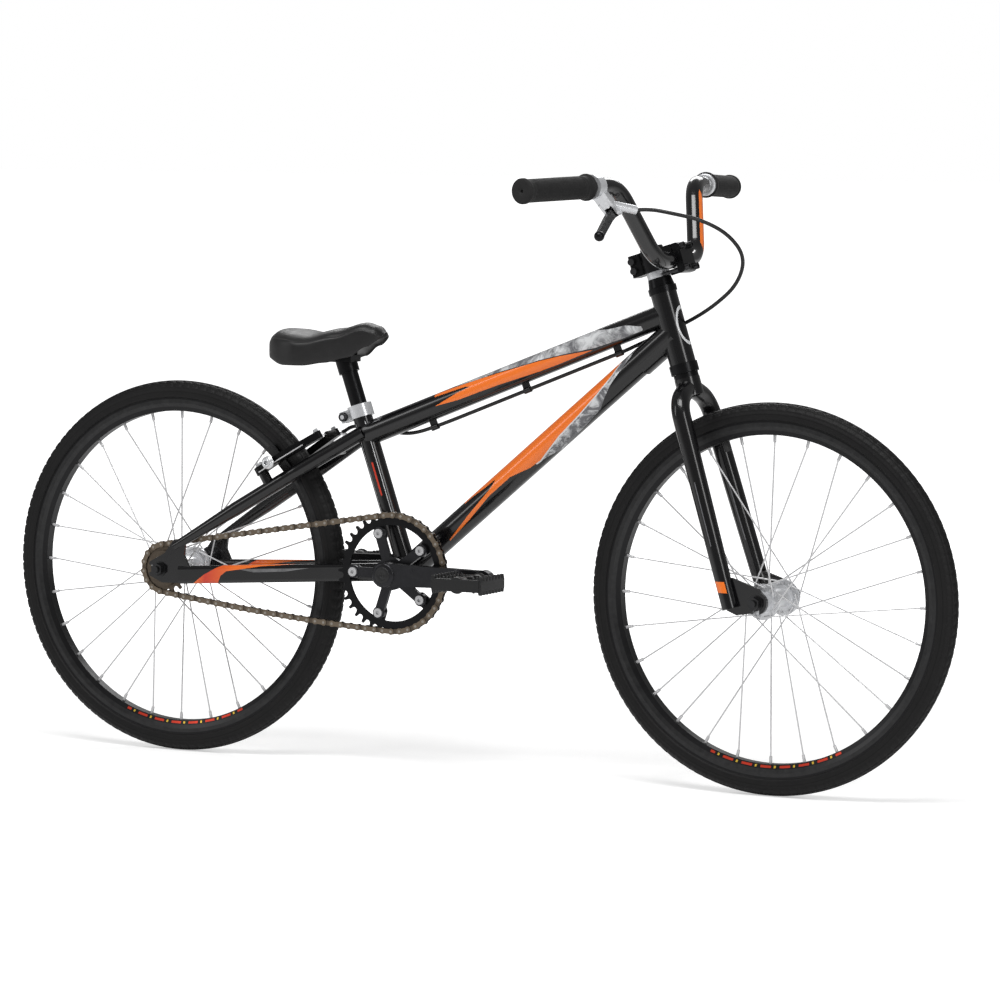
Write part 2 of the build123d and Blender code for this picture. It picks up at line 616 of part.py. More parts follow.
def build_rear_triangle():
    """Stays, dropouts, bridges and the brake's studs."""
    seat, shell = seat_tube_solid(), shell_solid()
    plates = [rear_plate(side) for side in (RIGHT, LEFT)]
    filled = [rear_plate(side, grow=0.02) for side in (RIGHT, LEFT)]
    top = top_tube_solid()
    seatstays, chainstays, studs = [], [], []
    bore = STAY_DIAMETER / 2 - TUBE_WALL_THICKNESS
    for side, slab in zip((RIGHT, LEFT), filled):
        points = seatstay_points(side)
        stay, hollow = seatstay(points, STAY_DIAMETER / 2), seatstay(points, bore)
        place, _ = brake_frame(side)
        reach = ARM_LEVEL + BRAKE_ARM_DEPTH
        boss = place * Cylinder(7, ARM_LEVEL - EASY, align=BASE)
        stud = place * Pos(0, 0, ARM_LEVEL - EASY) * Cylinder(BRAKE_STUD_DIAMETER / 2, reach - ARM_LEVEL + EASY,
                                                              align=BASE)
        studs.append(boss + stud - stay)
        seatstays.append(largest(stay - hollow - seat - top - slab))
        chainstays.append(largest(chainstay(side) - shell - seat - slab))
    halves = [Pos(0, side * 500, 0) * Box(3000, 1000, 3000) for side in (RIGHT, LEFT)]
    seatstays = [stay & half for stay, half in zip(seatstays, halves)]
    save(group(plates), "dropouts")
    save(group(seatstays), "seatstays")
    save(group(chainstays), "chainstays")
    save(group([*studs, *bridges(seatstays, chainstays)]), "bridges_and_brake_studs")


def bridges(seatstays, chainstays):
    """The cross tubes between the two seatstays and between the two chainstays."""
    x = SEATSTAY_BEND[0] + 46
    spot = rear(x, 0, on_seatstay_line(x))
    upper = cross_rod(spot.X, spot.Z, 6, -40, 40)
    lower_x = REAR_CENTRE - 58
    lower = cross_rod(rear(lower_x, 0).X, REAR_AXLE.Z + BB_RISE - 3, 6.5, -30, 30)
    cut_upper = upper - seatstays
    cut_lower = lower - chainstays
    return [middle_solid(cut_upper), middle_solid(cut_lower)]


def middle_solid(part):
    """The solid that lies across the mid-plane."""
    return min(part.solids(), key=lambda solid: abs(solid.center().Y) - 0.001 * solid.volume)


def brake_frame(side):
    """The pivot frame of a brake arm: x along the seatstay, z out of the stud; and the stay's direction."""
    foot, bend, _ = seatstay_points(side)
    top = SEATSTAY_TOP - REAR_AXLE
    along = Vector(top.X - SEATSTAY_FOOT_X, 0, top.Z - SEATSTAY_FOOT_Z).normalized()
    run = (BRAKE_PIVOT_FROM_AXLE - SEATSTAY_FOOT_X) * along.X
    share = run / (bend.X - foot.X)
    origin = foot + (bend - foot) * share
    normal = Vector(-along.Z, 0, along.X)
    return Plane(origin=origin, x_dir=along, z_dir=normal), along


# -------------------------------------------------------------------- headset
def build_headset():
    """Pressed cups, bearings, crown race, cover and spacer."""
    bore = HEAD_TUBE_DIAMETER / 2 - HEAD_TUBE_WALL
    steerer = STEERER_DIAMETER / 2
    lower_cup_bottom = CROWN_RACE_HEIGHT + EASY
    bearing_radius = CUP_DIAMETER / 2 - 2
    lower = ring(CUP_DIAMETER / 2, bearing_radius, HEAD_BOTTOM - lower_cup_bottom, lower_cup_bottom)
    floor = ring(bearing_radius, steerer + 1, 2, HEAD_BOTTOM - 2)
    insert = ring(bore, steerer + 1, CUP_INSERT, HEAD_BOTTOM)
    upper = ring(CUP_DIAMETER / 2, bearing_radius, UPPER_CUP_HEIGHT, HEAD_TOP)
    upper_floor = ring(bearing_radius, steerer + 1, 2, HEAD_TOP)
    upper_insert = ring(bore, steerer + 1, CUP_INSERT, HEAD_TOP - CUP_INSERT)
    cups = [lower + floor + insert, upper + upper_floor + upper_insert]
    save(STEERING * group(cups), "headset_cups")
    running = steerer + RUNNING
    bearings = [ring(bearing_radius, running, BEARING_HEIGHT, lower_cup_bottom + 1),
                ring(bearing_radius, running, UPPER_CUP_HEIGHT - 2, HEAD_TOP + 2)]
    save(STEERING * group(bearings), "headset_bearings")
    crown_race = ring(HEAD_TUBE_DIAMETER / 2 - 1, steerer, CROWN_RACE_HEIGHT)
    top = UPPER_CUP_TOP + EASY
    cover = Pos(0, 0, top) * Cone(HEAD_TUBE_DIAMETER / 2, SPACER_DIAMETER / 2, COVER_TOP - top, align=BASE)
    cover -= Cylinder(steerer, 400, align=BASE)
    save(STEERING * group([crown_race, cover]), "headset_cover")
    save(STEERING * ring(SPACER_DIAMETER / 2, steerer, SPACER_HEIGHT, COVER_TOP), "headset_spacer")


# ----------------------------------------------------------------------- fork
def build_fork():
    """A fork whose two legs curve out of the crown, with plate dropouts."""
    steerer = STEERER_DIAMETER / 2
    steerer_length = STEM_TOP - 3 + CROWN_HEIGHT
    save(STEERING * ring(steerer, steerer - STEERER_WALL, steerer_length, -CROWN_HEIGHT), "steerer")
    crown = STEERING * Pos(0, 0, -CROWN_HEIGHT) * Cylinder(CROWN_DIAMETER / 2, CROWN_HEIGHT, align=BASE)
    hole = STEERING * Pos(0, 0, -CROWN_HEIGHT - 1) * Cylinder(steerer, CROWN_HEIGHT + 40, align=BASE)
    body = crown
    plates = []
    for side in (RIGHT, LEFT):
        straight = (LEG_TIP_OFFSET - LEG_SHOULDER_OFFSET) / (LEG_TIP_DROP - LEG_SHOULDER_DROP)
        join_drop = LEG_SHOULDER_DROP + 52
        join_y = LEG_SHOULDER_OFFSET + straight * (join_drop - LEG_SHOULDER_DROP)
        points = [on_steering(0, side * 3, -11),
                  on_steering(0, side * LEG_SHOULDER_OFFSET, -LEG_SHOULDER_DROP),
                  on_steering(0, side * join_y, -join_drop)]
        body += bent_tube(points, SHOULDER_RADIUS, LEG_DIAMETER / 2)
        tip = on_steering(0, side * LEG_TIP_OFFSET, -LEG_TIP_DROP)
        body += rod(points[2], tip, LEG_DIAMETER / 2, end_radius=LEG_TIP_DIAMETER / 2)
        plates.append(fork_plate(side))
    outlines = [STEERING * fork_end_box(side) for side in (RIGHT, LEFT)]
    save(group([body - hole - outlines, *plates]), "fork")


def fork_end_box(side):
    """The slot in a leg's tip that takes its dropout plate."""
    middle = side * (FRONT_HUB_WIDTH / 2 + DROPOUT_THICKNESS / 2)
    return Pos(0, middle, -LEG_TIP_DROP) * Box(60, DROPOUT_THICKNESS, 2 * 40)


def fork_plate(side):
    """A fork dropout that carries the axle ahead of its leg."""
    start = side * (FRONT_HUB_WIDTH / 2)
    end = side * (FRONT_HUB_WIDTH / 2 + DROPOUT_THICKNESS)
    y_from, y_to = min(start, end), max(start, end)
    place = Plane(origin=on_steering(0, 0, 0), x_dir=HEAD_FORWARD, z_dir=(0, -1, 0))
    drop = -FORK_LENGTH
    body = Polyline((-8, drop + 38), (10, drop + 40), (FORK_RAKE + 8, drop + 17), (FORK_RAKE + 16, drop),
                    (FORK_RAKE + 8, drop - 13), (4, drop - 8), (-8, drop + 2), close=True)
    outline = fillet(make_face(body).vertices(), 4)
    outline += Pos(FORK_RAKE, drop) * Circle(15)
    outline -= Pos(FORK_RAKE, drop) * Circle(AXLE_DIAMETER / 2 + EASY / 2)
    axle_slot = Pos(0, -15) * Rectangle(AXLE_DIAMETER + EASY, 30)
    outline -= Pos(FORK_RAKE, drop) * Rot(0, 0, HEAD_ANGLE - 90) * axle_slot
    sheet = extrude(place * outline, amount=-(y_to - y_from))
    return Pos(0, y_from, 0) * sheet


# --------------------------------------------------------- stem and handlebar
STEM_BOLT_Y, STEM_BOLT_Z = 13.0, 14.0
STEM_FACE = STEM_REACH + BAR_DIAMETER / 2 + 5.5
PLATE_GAP = 1.6


def stem_bolt_places():
    """The four faceplate bolts' (side, height) places in the steering frame."""
    return [(y, BAR_HEIGHT + z) for y in (-STEM_BOLT_Y, STEM_BOLT_Y) for z in (-STEM_BOLT_Z, STEM_BOLT_Z)]


def build_stem():
    """A front-loading stem: body, faceplate, bolts and top cap."""
    front_height = 2 * (STEM_BOLT_Z + 5.5)
    block = Pos(STEM_FACE / 2, 0, BAR_HEIGHT) * Box(STEM_FACE, STEM_WIDTH, front_height)
    block = fillet(block.edges().filter_by(Axis.Y), 5)
    block -= Pos(0, 0, STEM_BOTTOM - 40) * Box(2 * STEERER_DIAMETER + 6, 60, 80)
    clamp = Pos(0, 0, STEM_BOTTOM) * Cylinder(STEM_WIDTH / 2, STEM_HEIGHT, align=BASE)
    ear = Pos(-22, 0, STEM_BOTTOM + STEM_HEIGHT / 2) * Box(18, 24, STEM_HEIGHT)
    ear = fillet(ear.edges().filter_by(Axis.Z), 3)
    body = block + clamp + ear
    body -= Pos(0, 0, STEM_BOTTOM - 30) * Cylinder(STEERER_DIAMETER / 2, 100, align=BASE)
    body -= Pos(0, 0, STEM_TOP) * Cylinder(SPACER_DIAMETER / 2 + 1, 40, align=BASE)
    bar = Pos(STEM_REACH, 0, BAR_HEIGHT) * Rot(90, 0, 0) * Cylinder(BAR_DIAMETER / 2, 100)
    body -= bar
    body -= Pos(-25, 0, STEM_BOTTOM + STEM_HEIGHT / 2) * Box(32, 2, STEM_HEIGHT + 2)
    bolts = []
    for y, z in stem_bolt_places():
        place = Pos(0, y, z) * Rot(0, 90, 0)
        shank = place * Pos(0, 0, 12) * Cylinder(2.5, STEM_FACE - 12, align=BASE)
        head = place * Pos(0, 0, STEM_FACE) * Cylinder(4.5, 5, align=BASE)
        head -= place * Pos(0, 0, STEM_FACE + 2) * extrude(RegularPolygon(2.6, 6), amount=4)
        bolts.append(shank + head)
    for height in (STEM_BOTTOM + 8, STEM_TOP - 8):
        place = Pos(-25.5, -12, height) * Rot(-90, 0, 0)
        pinch = place * Cylinder(2.5, 22, align=BASE) + place * Pos(0, 0, -5) * Cylinder(4.5, 5, align=BASE)
        bolts.append(pinch)
    body -= bolts
    gap_x = STEM_REACH + BAR_DIAMETER / 4
    cutter = Pos(gap_x + 50, 0, BAR_HEIGHT) * Box(100, 100, 100)
    joint = Pos(gap_x, 0, BAR_HEIGHT) * Box(PLATE_GAP, 100, 100)
    save(STEERING * largest(body - cutter - joint), "stem")
    save(STEERING * largest((body & cutter) - joint), "stem_faceplate")
    cap = Pos(0, 0, STEM_TOP) * Cylinder(SPACER_DIAMETER / 2, 4, align=BASE)
    cap = fillet(cap.edges().group_by(Axis.Z)[-1], 1.5)
    bolt = Pos(0, 0, STEM_TOP - 16) * Cylinder(3, 17, align=BASE)
    save(STEERING * group([*bolts, cap + bolt]), "stem_bolts")


def bar_path_points():
    """The handlebar's corners from right end to left end."""
    sweep_back = tan(radians(BAR_BACKSWEEP)) * (BAR_WIDTH / 2 - BAR_SHOULDER)
    end_lift = 5.0
    corners = [(STEM_REACH, BAR_FOOT, BAR_HEIGHT), (STEM_REACH, BAR_SHOULDER, BAR_HEIGHT + BAR_RISE),
               (STEM_REACH - sweep_back, BAR_WIDTH / 2 - 4, BAR_HEIGHT + BAR_RISE + end_lift)]
    right = [on_steering(x, -y, z) for x, y, z in reversed(corners)]
    left = [on_steering(x, y, z) for x, y, z in corners]
    return right + left


def bar_end(side):
    """The end point of the bar and the direction out along its grip."""
    points = bar_path_points()
    end, corner = (points[0], points[1]) if side == RIGHT else (points[-1], points[-2])
    return end, (end - corner).normalized()


def build_handlebar():
    """The bar and its two grips."""
    points = bar_path_points()
    save(bent_tube(points, BAR_BEND_RADIUS, BAR_DIAMETER / 2, BAR_DIAMETER / 2 - BAR_WALL), "handlebar")
    grips = []
    for side in (RIGHT, LEFT):
        end, out = bar_end(side)
        inner = end - out * (GRIP_LENGTH - 4)
        sleeve = rod(inner, end, GRIP_DIAMETER / 2, BAR_DIAMETER / 2)
        flange = rod(inner, inner + out * 3, GRIP_FLANGE_DIAMETER / 2, BAR_DIAMETER / 2)
        cap = rod(end, end + out * 4, GRIP_DIAMETER / 2 + 1)
        grips.append(sleeve + flange + cap)
    save(group(grips), "grips")


# ------------------------------------------------------------------ seat group
def build_seat():
    """Seat clamp, seatpost, saddle clamp, rails and saddle."""
    top = SEAT_TUBE_LENGTH
    tube, band_height = SEAT_TUBE_DIAMETER / 2, 15.0
    band = ring(tube + 3.5, tube, band_height, top - band_height + 1)
    lip = ring(tube + 3.5, SEATPOST_DIAMETER / 2 + 0.3, 2, top + 1)
    ears = Pos(-tube - 8, 0, top - band_height / 2 + 1) * Box(14, 17, band_height)
    ears -= Pos(0, 0, top - 40) * Cylinder(tube + 1, 80, align=BASE)
    ears -= Pos(-tube - 8, 0, top) * Box(30, 3, 80)
    body = band + lip + ears
    body -= Pos(-tube - 2, 0, top) * Box(14, 3, 60)
    bolt_place = Pos(-tube - 9, 0, top - band_height / 2 + 1) * Rot(90, 0, 0)
    bolt = bolt_place * Cylinder(2.5, 26) + bolt_place * Pos(0, 0, 11.5) * Cylinder(5, 6)
    save(SEAT * group([body - bolt, bolt]), "seat_clamp")
    post_top = SEAT_TUBE_LENGTH + SEATPOST_SHOWING
    post_radius = SEATPOST_DIAMETER / 2
    post = ring(post_radius, post_radius - SEATPOST_WALL, SEATPOST_LENGTH, post_top - SEATPOST_LENGTH)
    save(SEAT * post, "seatpost")
    clamp_centre = on_seat(0, 0, post_top)
    save(saddle_clamp(post_top), "saddle_clamp")
    rails = saddle_rails(clamp_centre)
    save(group([saddle() - rails, rails]), "saddle")


RAIL_HEIGHT = 10.0


def saddle_clamp(post_top):
    """The head on top of the post that grips the saddle's rails, with its bolt."""
    post_radius = SEATPOST_DIAMETER / 2
    sleeve = SEAT * ring(post_radius + 3, post_radius, 18, post_top - 18)
    centre = on_seat(0, 0, post_top)
    cradle = Pos(centre.X, 0, centre.Z + 2) * Box(30, RAIL_SPACING - RAIL_DIAMETER - 2 * EASY, 9)
    cradle -= SEAT * Pos(0, 0, post_top - 40) * Cylinder(post_radius, 40, align=BASE)
    pin_y = RAIL_SPACING / 2 - RAIL_DIAMETER / 2 - EASY
    body = sleeve + cradle
    axle_bolt = cross_rod(centre.X, centre.Z + RAIL_HEIGHT, 4, -pin_y - 16, pin_y + 16)
    lug = Pos(centre.X, 0, centre.Z + RAIL_HEIGHT - 3) * Box(20, 2 * pin_y, 12)
    lug -= SEAT * Pos(0, 0, post_top - 40) * Cylinder(post_radius, 40, align=BASE)
    return body + lug + axle_bolt


def saddle_rails(centre):
    """The two side plates that turn on the clamp's bolt and carry the saddle."""
    pieces = []
    for side in (RIGHT, LEFT):
        y = side * RAIL_SPACING / 2
        outline = Pos(centre.X, centre.Z + RAIL_HEIGHT) * Circle(9)
        outline += Pos(centre.X, centre.Z + RAIL_HEIGHT + 6) * Rectangle(60, 9)
        outline -= Pos(centre.X, centre.Z + RAIL_HEIGHT) * Circle(4 + RUNNING)
        pieces.append(plate(outline, y - RAIL_DIAMETER / 2, y + RAIL_DIAMETER / 2))
    return group(pieces)


def saddle():
    """A short saddle: wide tail, narrow nose that tips up."""
    centre = on_seat(0, 0, SEAT_TUBE_LENGTH + SEATPOST_SHOWING)
    x, z = centre.X, centre.Z + RAIL_HEIGHT
    back, front = x - 0.56 * SADDLE_LENGTH, x + 0.44 * SADDLE_LENGTH
    tail, nose = SADDLE_WIDTH / 2, SADDLE_NOSE_WIDTH / 2
    tail_end, nose_end = Pos(back + tail, 0) * Circle(tail), Pos(front - nose, 0) * Circle(nose)
    plan = make_hull([*tail_end.edges(), *nose_end.edges()])
    crown = Spline((back, z + 16), (back + 20, z + 36), (back + 70, z + 33), (front - 40, z + 46),
                   (front - 12, z + 44), (front, z + 28))
    keel = Spline((front, z + 28), (front - 52, z + 13), (back + 76, z + 6), (back + 30, z + 4),
                  (back, z + 16))
    side = make_face([crown, keel])
    slab = plate(side, -SADDLE_WIDTH, SADDLE_WIDTH)
    return slab & (Pos(0, 0, z - 50) * extrude(plan, amount=200))


# ----------------------------------------------------------------- drivetrain
def sprocket(teeth, first_angle, thickness):
    """A toothed disc about the y axis; one tooth gap's centre lies at first_angle from +x towards +z."""
    pitch_radius = CHAIN_PITCH / 2 / sin(pi / teeth)
    gap = ROLLER_DIAMETER / 2 + ROLLER_CLEARANCE
    disc = Circle(pitch_radius + TOOTH_HEIGHT)
    far = TOOTH_HEIGHT + 1
    notch = Pos(pitch_radius, 0) * (Circle(gap) + make_face(Polyline((0, -gap), (far, -gap - 1.3), (far, gap + 1.3),
                                                                     (0, gap), close=True)))
    disc -= [Rot(0, 0, first_angle + turn * 360 / teeth) * notch for turn in range(teeth)]
    return disc


def chain_wrap():
    """Where the chain touches its sprockets: the lean of the runs and their tangent angles."""
    span = BB - REAR_AXLE
    line = degrees(atan2(span.Z, span.X))
    spread = degrees(asin((RING_RADIUS - COG_RADIUS) / span.length))
    return line, spread


def on_sprocket(centre, radius, angle):
    """A point on a pitch circle, at an angle from +x towards +z, in the chain's plane."""
    return centre + Vector(radius * cos(radians(angle)), -CHAINLINE, radius * sin(radians(angle)))


def chain_rollers():
    """Every roller's centre: round the ring, the sagging lower run, the cog and the top run."""
    line, spread = chain_wrap()
    ring_step, cog_step = 360 / RING_TEETH, 360 / COG_TEETH
    ring_top, cog_top = line + 90 + spread, line + 90 + spread
    ring_count = int((180 + 2 * spread) / ring_step)
    cog_count = int((180 - 2 * spread) / cog_step)
    points = [on_sprocket(BB, RING_RADIUS, ring_top - turn * ring_step) for turn in range(ring_count + 1)]
    back = [on_sprocket(REAR_AXLE, COG_RADIUS, cog_top + turn * cog_step) for turn in range(cog_count + 1)]
    start, end = points[-1], back[-1]
    lower_links = ceil((end - start).length / CHAIN_PITCH)
    for index in range(1, lower_links):
        share = index / lower_links
        drop = 4 * CHAIN_SAG * share * (1 - share)
        points.append(start + (end - start) * share - Vector(0, 0, drop))
    points += list(reversed(back))
    start, end = back[0], points[0]
    upper_links = round((end - start).length / CHAIN_PITCH)
    points += [start + (end - start) * (index / upper_links) for index in range(1, upper_links)]
    return points


def link_plates(level, thickness, pin, hole):
    """Two figure-eight side plates, one each side, with pins or holes at both ends."""
    centre = CHAIN_PITCH / 2
    outline = Pos(-centre, 0) * Circle(LINK_RADIUS) + Pos(centre, 0) * Circle(LINK_RADIUS)
    outline += Rectangle(CHAIN_PITCH, 2 * LINK_RADIUS - 2)
    for x in (-centre, centre):
        outline -= Pos(x, 0) * Circle(hole)
    sides = [plate(outline, level, level + thickness), plate(outline, -level - thickness, -level)]
    body = sides[0] + sides[1]
    outer = level + thickness + pin
    for x in (-centre, centre):
        body += cross_rod(x, 0, hole if pin else ROLLER_DIAMETER / 2, -outer, outer)
    if not pin:
        for x in (-centre, centre):
            body -= cross_rod(x, 0, hole, -outer - 1, outer + 1)
    return body


def chain():
    """A closed roller chain of alternating inner and outer links."""
    inner = link_plates(1.9, 0.9, 0.0, 1.95)
    outer = link_plates(2.9, 0.9, 0.3, 1.8)
    points = chain_rollers()
    links = []
    for index, here in enumerate(points):
        there = points[(index + 1) % len(points)]
        middle, along = (here + there) * 0.5, there - here
        pitch_angle = degrees(atan2(along.Z, along.X))
        links.append(Pos(middle) * Rot(0, -pitch_angle, 0) * (inner if index % 2 else outer))
    return group(links)


def build_drivetrain():
    """Bottom bracket, cranks, chainring, freewheel, chain and pedals."""
    line, spread = chain_wrap()
    top_angle = line + 90 + spread
    at_crank = Pos(BB)
    half = BB_SHELL_WIDTH / 2
    bore = BB_SHELL_DIAMETER / 2 - BB_SHELL_WALL
    spindle = SPINDLE_DIAMETER / 2
    cartridge = cross_rod(0, 0, bore, -half, half)
    for side in (RIGHT, LEFT):
        cartridge += cross_rod(0, 0, bore + 2, side * half, side * (half + 2.5))
    cartridge -= cross_rod(0, 0, spindle + RUNNING, -half - 5, half + 5)
    save(at_crank * cartridge, "bottom_bracket")
    reach = ARM_INNER_FACE + ARM_THICKNESS - 2
    save(at_crank * cross_rod(0, 0, spindle, -reach, reach), "crank_spindle")

    ring_half = TOOTH_WIDTH / 2
    bolt_places = [(BOLT_CIRCLE / 2 * cos(radians(180 + 72 * k)), BOLT_CIRCLE / 2 * sin(radians(180 + 72 * k)))
                   for k in range(5)]
    outline = sprocket(RING_TEETH, top_angle, TOOTH_WIDTH) - Circle(RING_INNER)
    for x, z in bolt_places:
        tab = Rectangle(18, 17) + Pos(-9, 0) * Circle(8.5)
        outline += Rot(0, 0, degrees(atan2(z, x))) * Pos(BOLT_CIRCLE / 2 + 7, 0) * tab
    for x, z in bolt_places:
        outline -= Pos(x, z) * Circle(4)
    save(at_crank * plate(outline, -CHAINLINE - ring_half, -CHAINLINE + ring_half), "chainring")

    spider_inner = -CHAINLINE - ring_half
    arm = crank_arm(RIGHT)
    hub = cross_rod(0, 0, 17, -ARM_INNER_FACE, spider_inner - 3)
    star = Circle(22)
    for x, z in bolt_places:
        spoke = Pos(BOLT_CIRCLE / 4, 0) * Rectangle(BOLT_CIRCLE / 2, 13)
        spoke += Pos(BOLT_CIRCLE / 2, 0) * Circle(8.5)
        star += Rot(0, 0, degrees(atan2(z, x))) * spoke
    for x, z in bolt_places:
        star -= Pos(x, z) * Circle(4)
    right_arm = arm + hub + plate(star, spider_inner - SPIDER_THICKNESS, spider_inner)
    right_arm -= cross_rod(0, 0, spindle, -200, 200)
    save(at_crank * right_arm, "crank_arm_right")
    save(at_crank * (crank_arm(LEFT) - cross_rod(0, 0, spindle, -200, 200)), "crank_arm_left")
    bolts = []
    for x, z in bolt_places:
        outside = spider_inner - SPIDER_THICKNESS
        head = cross_rod(x, z, 6, outside - 3, outside)
        bolt = head + cross_rod(x, z, 4, outside, -CHAINLINE + ring_half)
        bolt += cross_rod(x, z, 6, -CHAINLINE + ring_half, -CHAINLINE + ring_half + 2)
        bolts.append(bolt - cross_rod(x, z, 2.6, outside - 3, outside - 0.5))
    for side in (RIGHT, LEFT):
        bolts.append(cross_rod(0, 0, spindle, side * reach, side * (reach + 4.5), 4.2))
    save(at_crank * group(bolts), "crank_bolts")

    cog_place = Pos(REAR_AXLE)
    body = plate(sprocket(COG_TEETH, top_angle, TOOTH_WIDTH), -CHAINLINE - ring_half, -CHAINLINE + ring_half)
    outer_face = -CHAINLINE - FREEWHEEL_OUTSIDE
    body += cross_rod(0, 0, FREEWHEEL_BODY / 2, outer_face, outer_face + FREEWHEEL_WIDTH)
    body -= cross_rod(0, 0, FREEWHEEL_BORE / 2, -200, 200)
    save(cog_place * body, "freewheel")
    save(chain(), "chain")

    axles = []
    for side in (RIGHT, LEFT):
        centre = BB + Vector(-side * CRANK_LENGTH, 0, 0)
        inner = ARM_INNER_FACE
        start = ARM_INNER_FACE + ARM_THICKNESS + PEDAL_GAP
        end = start + PEDAL_SIZE[1] - 4
        axle_body = cross_rod(centre.X, centre.Z, PEDAL_AXLE_DIAMETER / 2, side * inner, side * (start - 1))
        axle_body += cross_rod(centre.X, centre.Z, PEDAL_AXLE_DIAMETER / 2 - 1.5,
                               side * (start - 1), side * end)
        axles.append(axle_body)
        save(pedal(side, centre, start), "pedal_right" if side == RIGHT else "pedal_left")
    save(group(axles), "pedal_axles")


def crank_arm(side):
    """A tapered crank arm: forward on the right, backward on the left."""
    forward = -side
    outline = Circle(17) + Pos(forward * CRANK_LENGTH, 0) * Circle(13)
    blade = make_hull([*(Circle(15).edges()), *(Pos(forward * CRANK_LENGTH, 0) * Circle(12)).edges()])
    outline += blade
    outline -= Pos(forward * CRANK_LENGTH, 0) * Circle(PEDAL_AXLE_DIAMETER / 2)
    y_from, y_to = sorted((side * ARM_INNER_FACE, side * (ARM_INNER_FACE + ARM_THICKNESS)))
    return plate(outline, y_from, y_to)


def pedal(side, centre, start):
    """A platform pedal: a barrel, two end plates, and toothed front and back rails."""
    depth, width, height = PEDAL_SIZE
    bore = PEDAL_AXLE_DIAMETER / 2 - 1.5 + RUNNING
    body = cross_rod(0, 0, 11, 0, width)
    for y in (4, width - 4):
        end_plate = Pos(0, y, 0) * Box(depth, 8, height - 6)
        body += fillet(end_plate.edges().filter_by(Axis.Y), 4)
    tooth = 6.0
    for x in (-depth / 2 + 3.5, depth / 2 - 3.5):
        rail = Pos(x, width / 2, 0) * Box(7, width, height)
        count = int(width / (2 * tooth))
        for index in range(count + 1):
            y = (width - 2 * tooth * count) / 2 + 2 * tooth * index
            for z in (-height / 2, height / 2):
                rail -= Pos(x, y, z) * Box(8, tooth, 5)
        body += rail
    for y in (width / 3, 2 * width / 3):
        body += Pos(0, y, 0) * Box(depth - 8, 4, height - 10)
    body -= cross_rod(0, 0, bore, -1, width - 4 + 0.5)
    placed = Pos(centre.X, side * start, centre.Z)
    return placed * (body if side == LEFT else mirror(body, about=Plane.XZ))


# ------------------------------------------------------------------ rim brake
def arm_outline(side):
    """A brake arm in (along the stay, across) from its pivot to its tip."""
    tip = (BRAKE_ARM_LENGTH, -side * ARM_TIP_INSET)
    knee = (BRAKE_ARM_KNEE, side * 1.5)
    outline = Circle(9)
    for (x0, y0), (x1, y1), wide, slim in (((0, 0), knee, 8, 7), (knee, tip, 7, 5)):
        outline += make_hull([*(Pos(x0, y0) * Circle(wide)).edges(), *(Pos(x1, y1) * Circle(slim)).edges()])
    return outline


def brake_side(side):
    """One brake arm with its pad carrier, and its pad, in the frame of its pivot."""
    place, _ = brake_frame(side)
    level = ARM_LEVEL
    body = Pos(0, 0, level) * extrude(arm_outline(side), amount=BRAKE_ARM_DEPTH)
    body -= Pos(0, 0, level - 1) * Cylinder(BRAKE_STUD_DIAMETER / 2 + RUNNING, 60, align=BASE)
    pivot_y = side * abs(place.origin.Y)
    pad_inner = RIM_WIDTH / 2 + PAD_GAP
    pad_outer = pad_inner + PAD_THICKNESS
    middle = level + BRAKE_ARM_DEPTH / 2
    body += rod((PAD_DISTANCE, side * (pad_outer - 1) - pivot_y, middle),
                (PAD_DISTANCE, side * 14, middle), 3.8)
    body += rod((PAD_DISTANCE, side * 5, middle), (PAD_DISTANCE, side * 16, middle), 5.6)
    centre_y = side * (pad_inner + pad_outer) / 2 - pivot_y
    pad = Box(PAD_SIZE[1], PAD_THICKNESS, PAD_SIZE[0])
    pad = fillet(pad.edges().filter_by(Axis.Y), 3)
    pad = Pos(PAD_DISTANCE, centre_y, middle) * Rot(0, -PAD_TILT, 0) * pad
    return place * (body - pad), place * pad


def build_brake():
    """The two arms, their pads and the cable noodle with its boot."""
    for side, name in ((RIGHT, "right"), (LEFT, "left")):
        arm, pad = brake_side(side)
        if side == LEFT:
            arm = group([arm, cable_boot()])
        save(arm, f"brake_arm_{name}")
        save(pad, f"brake_pad_{name}")


def arm_tip(side, inward=0.0):
    """The middle of a brake arm's tip, moved towards the mid-plane."""
    place, _ = brake_frame(side)
    tip = place * Pos(BRAKE_ARM_LENGTH, -side * ARM_TIP_INSET, ARM_LEVEL + BRAKE_ARM_DEPTH / 2)
    return tip.position - Vector(0, side * inward, 0)


def cable_boot():
    """The tapered rubber boot over the wire beside the left arm."""
    tip = arm_tip(LEFT, 5.0)
    boot_end = tip - Vector(0, BOOT_LENGTH, 0)
    return rod(tip, boot_end, 5.0, CABLE_DIAMETER / 2 - 1.5, end_radius=3.6)


